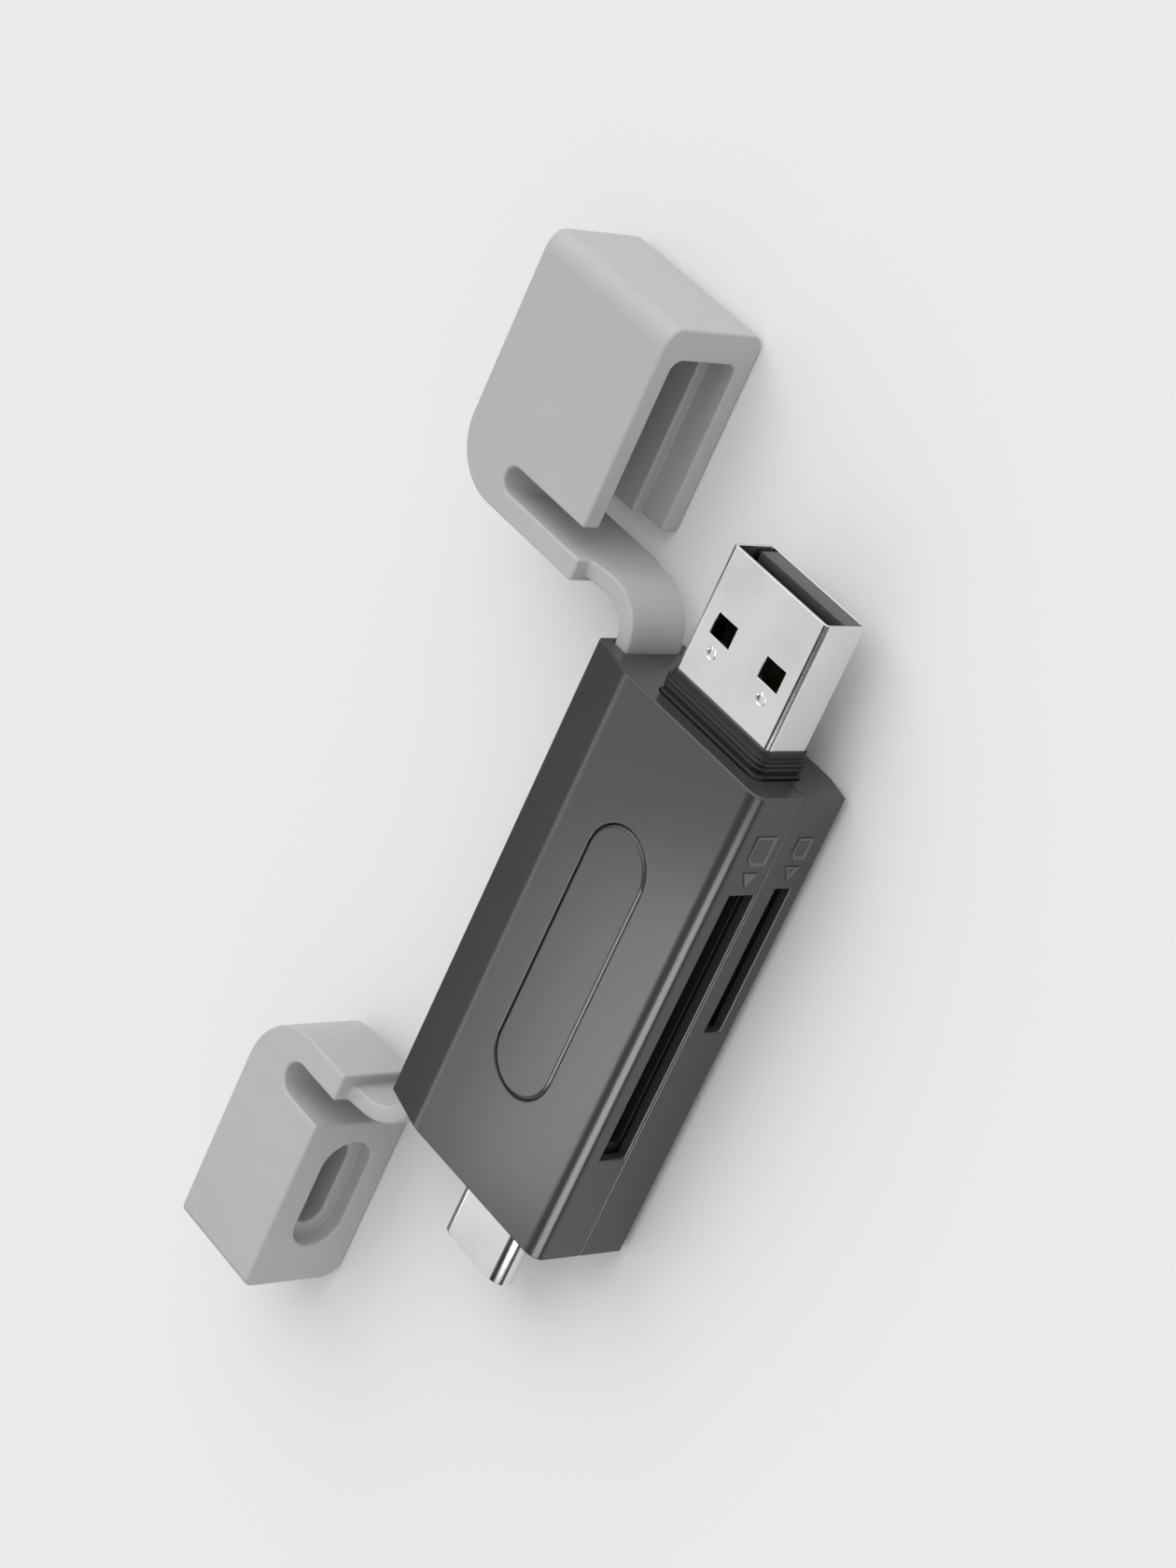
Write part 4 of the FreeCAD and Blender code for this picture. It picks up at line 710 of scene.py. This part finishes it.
class READER_OT_slim_cap(bpy.types.Operator):
    """Model the cap of the slim plug with its slotted strap and neck"""
    bl_idname = "reader.slim_cap"
    bl_label = "Slim plug's cap"

    def execute(self, context):
        size, neck = context.scene.reader_slim_cap, context.scene.reader_neck
        low, high = far_side_box("slim_plug_cap")
        mouth = high.x - size.setback
        middle = low.y + size.strap + size.gap + size.hole_side

        def hollow(width, thick, depth):
            y0, y1 = middle - width / 2, middle + width / 2
            z0, z1 = size.hole_height - thick / 2, size.hole_height + thick / 2
            section = [(y0, z0, thick / 2), (y1, z0, thick / 2), (y1, z1, thick / 2), (y0, z1, thick / 2)]
            return turned(solid_from(section, mouth - depth, mouth + OUT), ACROSS)

        bm = hollowed(cap_body(size, "slim_plug_cap"),
                      [hollow(size.mouth_width, size.mouth_thick, size.recess),
                       hollow(size.hole_width, size.hole_thick, size.depth)])
        grow_neck(bm, neck, "slim_cap_neck")
        rubber_piece("slim_cap_moulding", bm, -1, neck, ["slim_plug_cap", "slim_cap_neck"])
        return {"FINISHED"}


# Housing, plugs and inside, which keep the shapes of their CAD nodes

ON_THE_ARC = 0.8                    # points this share of the radius away from the axis belong to the arc
ROOTED = 0.01 * MM                  # how deep the signs are rooted in the side
PRESSED = 0.2 * MM                  # depth below the plug's front within which a dimple's points lie


class READER_OT_housing(bpy.types.Operator):
    """Dress the two shells and the oval panel"""
    bl_idname = "reader.housing"
    bl_label = "Housing"

    def roll_off(self, bm):
        """Stretch the round of the front's right edge across the front, so that it starts softly."""
        size = bpy.context.scene.reader_housing
        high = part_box("front_shell")[1]
        axis = Vector((high.x - size.long_edge, 0, high.z - size.long_edge))
        rounded = [v for v in bm.verts if v.co.x > axis.x - TINY and v.co.z > axis.z - TINY
                   and (v.co - axis).xz.length > size.long_edge * ON_THE_ARC]
        widen(bm, rounded, (size.roll_off / size.long_edge, 1, 1), Vector((high.x, 0, 0)))

    def execute(self, context):
        size = context.scene.reader_housing
        dressed("front_shell", "Housing plastic", size.edge, self.roll_off)
        dressed("back_shell", "Housing plastic", size.edge)
        dressed("oval_inlay", "Panel plastic", size.panel_edge)
        return {"FINISHED"}


class READER_OT_signs(bpy.types.Operator):
    """Raise an arrow and a card sign beside each card slot"""
    bl_idname = "reader.signs"
    bl_label = "Slot signs"

    def sign(self, name, corners, side, height, line):
        """Raised sign on the right side from (y, z) corners; with a line width it is an outline."""
        sunk, rounding = height * 0.95, height * 0.25
        bm = solid_from([(y, z, 0) for y, z in corners], 0.0, height)
        if line:
            top = next(f for f in bm.faces if all(v.co.z > height - TINY for v in f.verts))
            bmesh.ops.inset_region(bm, faces=[top], thickness=line, use_even_offset=True)
            bmesh.ops.translate(bm, vec=(0, 0, -sunk), verts=list(top.verts))
        bm = turned(bm, Matrix.Translation((side, 0, 0)) @ ACROSS)
        round_off(put(name, bm, "Sign plastic", (), "housing"), rounding, 2)

    def execute(self, context):
        size = context.scene.reader_signs
        seam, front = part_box("back_shell")[1].z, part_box("front_shell")[1]
        side = front.x - ROOTED
        for name, tip, middle, card, arrow_line in (
                ("large", size.large_start, (seam + front.z - size.front_margin) / 2, size.large_card, 0.0),
                ("small", size.small_start, (seam + size.back_margin) / 2, size.small_card,
                 size.line * size.open_arrow)):
            base = tip + size.arrow
            arrow = [(tip, middle), (base, middle - size.arrow_half), (base, middle + size.arrow_half)]
            self.sign(name + "_slot_arrow", arrow, side, size.height, arrow_line)
            y0, y1 = tip + size.card_start, tip + size.card_start + card
            half, cut = card * size.card_half, card * size.clipped
            outline = [(y0, middle - half), (y1, middle - half), (y1, middle + half),
                       (y0 + cut, middle + half), (y0, middle + half - cut)]
            self.sign(name + "_slot_card", outline, side, size.height, size.line)
        return {"FINISHED"}


class READER_OT_plugs(bpy.types.Operator):
    """Dress both plugs: shells, insulators, contacts and collars"""
    bl_idname = "reader.plugs"
    bl_label = "Plugs"

    def widen_dimples(self, bm):
        """Widen the two pressed dimples, so that they catch the light as small rings."""
        size = bpy.context.scene.reader_housing
        low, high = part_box("wide_plug_shell")
        for side in (-1, 1):
            across = (low.x + high.x) / 2 + side * size.dimples_apart
            centre = Vector((across, high.y - size.dimples_behind, 0))
            pressed = [v for v in bm.verts if v.co.z > high.z - PRESSED
                       and (v.co - centre).xy.length < size.dimples_reach]
            widen(bm, pressed, (size.dimples_wider, size.dimples_wider, 1), centre)

    def execute(self, context):
        size = context.scene.reader_housing
        dressed("wide_plug_shell", "Plug steel", size.steel_edge, self.widen_dimples)
        dressed("slim_plug_shell", "Plug steel", size.steel_edge)
        dressed("wide_plug_tongue", "Tongue plastic", size.inner_edge)
        dressed("slim_plug_insulator", "Insulator plastic", size.inner_edge)
        dressed("wide_plug_collar", "Collar plastic", size.collar_edge)
        dressed("slim_plug_collar", "Collar plastic", size.collar_edge)
        for node in ("wide_plug_contacts", "slim_plug_contacts_front", "slim_plug_contacts_back"):
            refinish(node, "Gilt contacts")
        # Nearly black springs, so that the windows look shaded: painted shade.
        refinish("wide_plug_spring_contacts", "Spring contacts")
        return {"FINISHED"}


class READER_OT_inside(bpy.types.Operator):
    """Finish the board, the card sockets and the small electronics"""
    bl_idname = "reader.inside"
    bl_label = "Board and sockets"

    def execute(self, context):
        size = context.scene.reader_housing
        for node in ("large_socket", "small_socket"):
            dressed(node + "_base", "Insulator plastic", size.inner_edge)
            dressed(node + "_cover", "Socket steel", size.inner_edge)
            refinish(node + "_contacts", "Gilt contacts")
        refinish("circuit_board", "Solder mask")
        refinish("capacitors", "Capacitor ceramic")
        refinish("crystal", "Socket steel")
        for node in ("controller_chip", "power_chip", "resistors"):
            refinish(node, "Chip resin")
        return {"FINISHED"}


# Stage

def flat_piece(name, matrix, material):
    """Flat object made of a square of 1 m by a matrix."""
    bm = bmesh.new()
    bmesh.ops.create_grid(bm, x_segments=1, y_segments=1, size=0.5, matrix=matrix)
    piece = object_of(name, bm)
    piece.data.materials.append(material)
    return piece


class READER_OT_stage(bpy.types.Operator):
    """Lay the pale floor, place the lamps and the camera"""
    bl_idname = "reader.stage"
    bl_label = "Floor, lamps and camera"

    def hang(self, holder, place, lean, away):
        """Hang a lamp or card, its width along Y, where the camera sees it mirrored at a place of a surface
        that leans by some degrees from the front towards the right side."""
        view = (self.stage.camera - place).normalized()
        normal = Vector((math.sin(math.radians(lean)), 0, math.cos(math.radians(lean))))
        toward = 2 * view.dot(normal) * normal - view
        side = (Vector((0, 1, 0)) - toward.y * toward).normalized()
        facing = Matrix((side, toward.cross(side), toward)).transposed().to_4x4()
        holder.matrix_world = Matrix.Translation(place + away * toward) @ facing

    def lamp(self, name, place, lean, bright, wide, tall):
        """Rectangular lamp that only the gloss sees; its power follows from its brightness."""
        light = bpy.data.lights.new(name, "AREA")
        light.shape, light.size, light.size_y = "RECTANGLE", wide, tall
        light.energy = bright * math.pi * wide * tall
        holder = in_scene(name, light)
        self.hang(holder, place, lean, self.stage.near)
        holder.visible_diffuse = False

    def dark_card(self, name, place, lean, tall):
        """Black card that only the gloss sees, as a photographer sets up beside shiny things."""
        shape = Matrix.Diagonal((self.stage.cards, tall, 1, 1))
        card = flat_piece(name, shape, finish_named("Black cloth"))
        self.hang(card, place, lean, self.stage.far)
        card.visible_camera = card.visible_diffuse = card.visible_shadow = False

    def lay_floor(self, paint):
        """Matt floor with a cloudiness that is hardly seen."""
        material, tree, shader = new_material("Pale floor")
        cloud = noise(tree, here(tree), 3.0, 2.0)
        feed(tree, shader, {"Base Color": mix(tree, cloud, tint(paint, 0.995), tint(paint, 1.005)),
                            "Roughness": 0.9, "Specular IOR Level": 0.1})
        lowered = Matrix.Translation((0, 0, -self.stage.drop))
        floor = flat_piece("floor", lowered @ Matrix.Scale(self.stage.floor, 4), material)

    def light_all_round(self, paint):
        """Even light on the object; the camera and the gloss see the floor's colour instead."""
        world = bpy.data.worlds.new("Studio")
        bpy.context.scene.world = world
        world.use_nodes = True
        sky = world.node_tree
        path = add(sky, "LightPath").outputs
        gloss = reckon(sky, "MAXIMUM", path["Is Glossy Ray"], path["Is Transmission Ray"])
        seen = reckon(sky, "MAXIMUM", path["Is Camera Ray"], gloss)
        light = add(sky, "Background", {"Color": (1, 1, 1, 1), "Strength": self.stage.sky})
        shown = add(sky, "Background", {"Color": tint(paint), "Strength": 1.0})
        both = add(sky, "MixShader", {0: seen, 1: light.outputs[0], 2: shown.outputs[0]})
        feed(sky, sky.nodes["World Output"], {"Surface": both.outputs[0]})

    def shine_key(self):
        """Broad lamp from beyond the wide plug's end, which shapes the matt surfaces."""
        light = bpy.data.lights.new("key_lamp", "SUN")
        light.energy, light.angle = self.stage.key * math.pi, self.stage.spread
        holder = in_scene("key_lamp", light)
        holder.rotation_mode = "QUATERNION"
        holder.rotation_quaternion = Vector(self.stage.key_from).to_track_quat("Z", "Y")

    def hang_lamps(self):
        """Lamps and dark cards that are mirrored in chosen slopes of the surface."""
        stage = self.stage
        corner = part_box("front_shell")[1]
        front = Vector((corner.x * 1.5, 0, corner.z))                           # level with the front
        edge = Vector((corner.x - 0.6 * MM, -4 * MM, corner.z - 0.4 * MM))      # on the long rounded edge
        ridge = Vector((-6.1 * MM, 0, corner.z))                                # beside the sloped strip
        for name, place, lean, bright, wide, tall in (("front_lamp", front, 0, stage.front, 36, 32),
                                                      ("edge_lamp", edge, 39, stage.edge, 52, 54),
                                                      ("ridge_lamp", ridge, -7.2, stage.ridge, 70, 12)):
            self.lamp(name, place, lean, bright, wide * MM, tall * MM)
        for name, place, lean, tall in (("card_strip", front, -15, 250), ("card_above", edge, 17, 380),
                                        ("card_edge", edge, 41, 400), ("card_side", edge, 63, 300)):
            self.dark_card(name, place, lean, tall * MM)

    def place_camera(self):
        """Camera that was fitted to the photograph."""
        stage = self.stage
        camera = bpy.data.cameras.new("photo_view")
        camera.sensor_width, camera.lens = 36.0, stage.lens
        camera.clip_start, camera.clip_end = 0.01, 10.0
        holder = in_scene("photo_view", camera)
        holder.location = stage.camera
        holder.rotation_mode = "QUATERNION"
        back = (stage.camera - stage.aim).to_track_quat("Z", "Y")
        holder.rotation_quaternion = back @ Quaternion((0, 0, 1), stage.roll)
        bpy.context.scene.camera = holder

    def execute(self, context):
        self.stage = context.scene.reader_stage
        paint = context.scene.reader_colours.floor
        self.lay_floor(paint)
        self.light_all_round(paint)
        self.shine_key()
        self.hang_lamps()
        self.place_camera()
        context.scene.view_settings.view_transform = "Standard"
        return {"FINISHED"}


STEPS = (READER_OT_housing, READER_OT_signs, READER_OT_plugs, READER_OT_inside, READER_OT_wide_cap,
         READER_OT_slim_cap, READER_OT_stage)
GROUPS = {"reader_housing": ReaderHousingSizes, "reader_signs": ReaderSignSizes,
          "reader_neck": ReaderNeckSizes, "reader_wide_cap": ReaderWideCapSizes,
          "reader_slim_cap": ReaderSlimCapSizes, "reader_colours": ReaderColours,
          "reader_stage": ReaderStage}


class READER_PT_panel(bpy.types.Panel):
    """Buttons for each piece, and the sizes and colours"""
    bl_idname = "READER_PT_panel"
    bl_label = "Memory card reader"
    bl_space_type = "VIEW_3D"
    bl_region_type = "UI"
    bl_category = "Card reader"

    def draw(self, context):
        for step in STEPS:
            self.layout.operator(step.bl_idname)
        for name, kind in GROUPS.items():
            area = self.layout.box()
            area.label(text=kind.__doc__)
            for prop in kind.__annotations__:
                area.prop(getattr(context.scene, name), prop)


def register():
    for kind in (*GROUPS.values(), *STEPS, READER_PT_panel):
        bpy.utils.register_class(kind)
    for name, kind in GROUPS.items():
        setattr(bpy.types.Scene, name, PointerProperty(type=kind))


def unregister():
    for name in GROUPS:
        delattr(bpy.types.Scene, name)
    for kind in reversed((*GROUPS.values(), *STEPS, READER_PT_panel)):
        bpy.utils.unregister_class(kind)


def main():
    register()
    for step in STEPS:
        group, name = step.bl_idname.split(".")
        getattr(getattr(bpy.ops, group), name)()


if __name__ == "__main__":
    main()
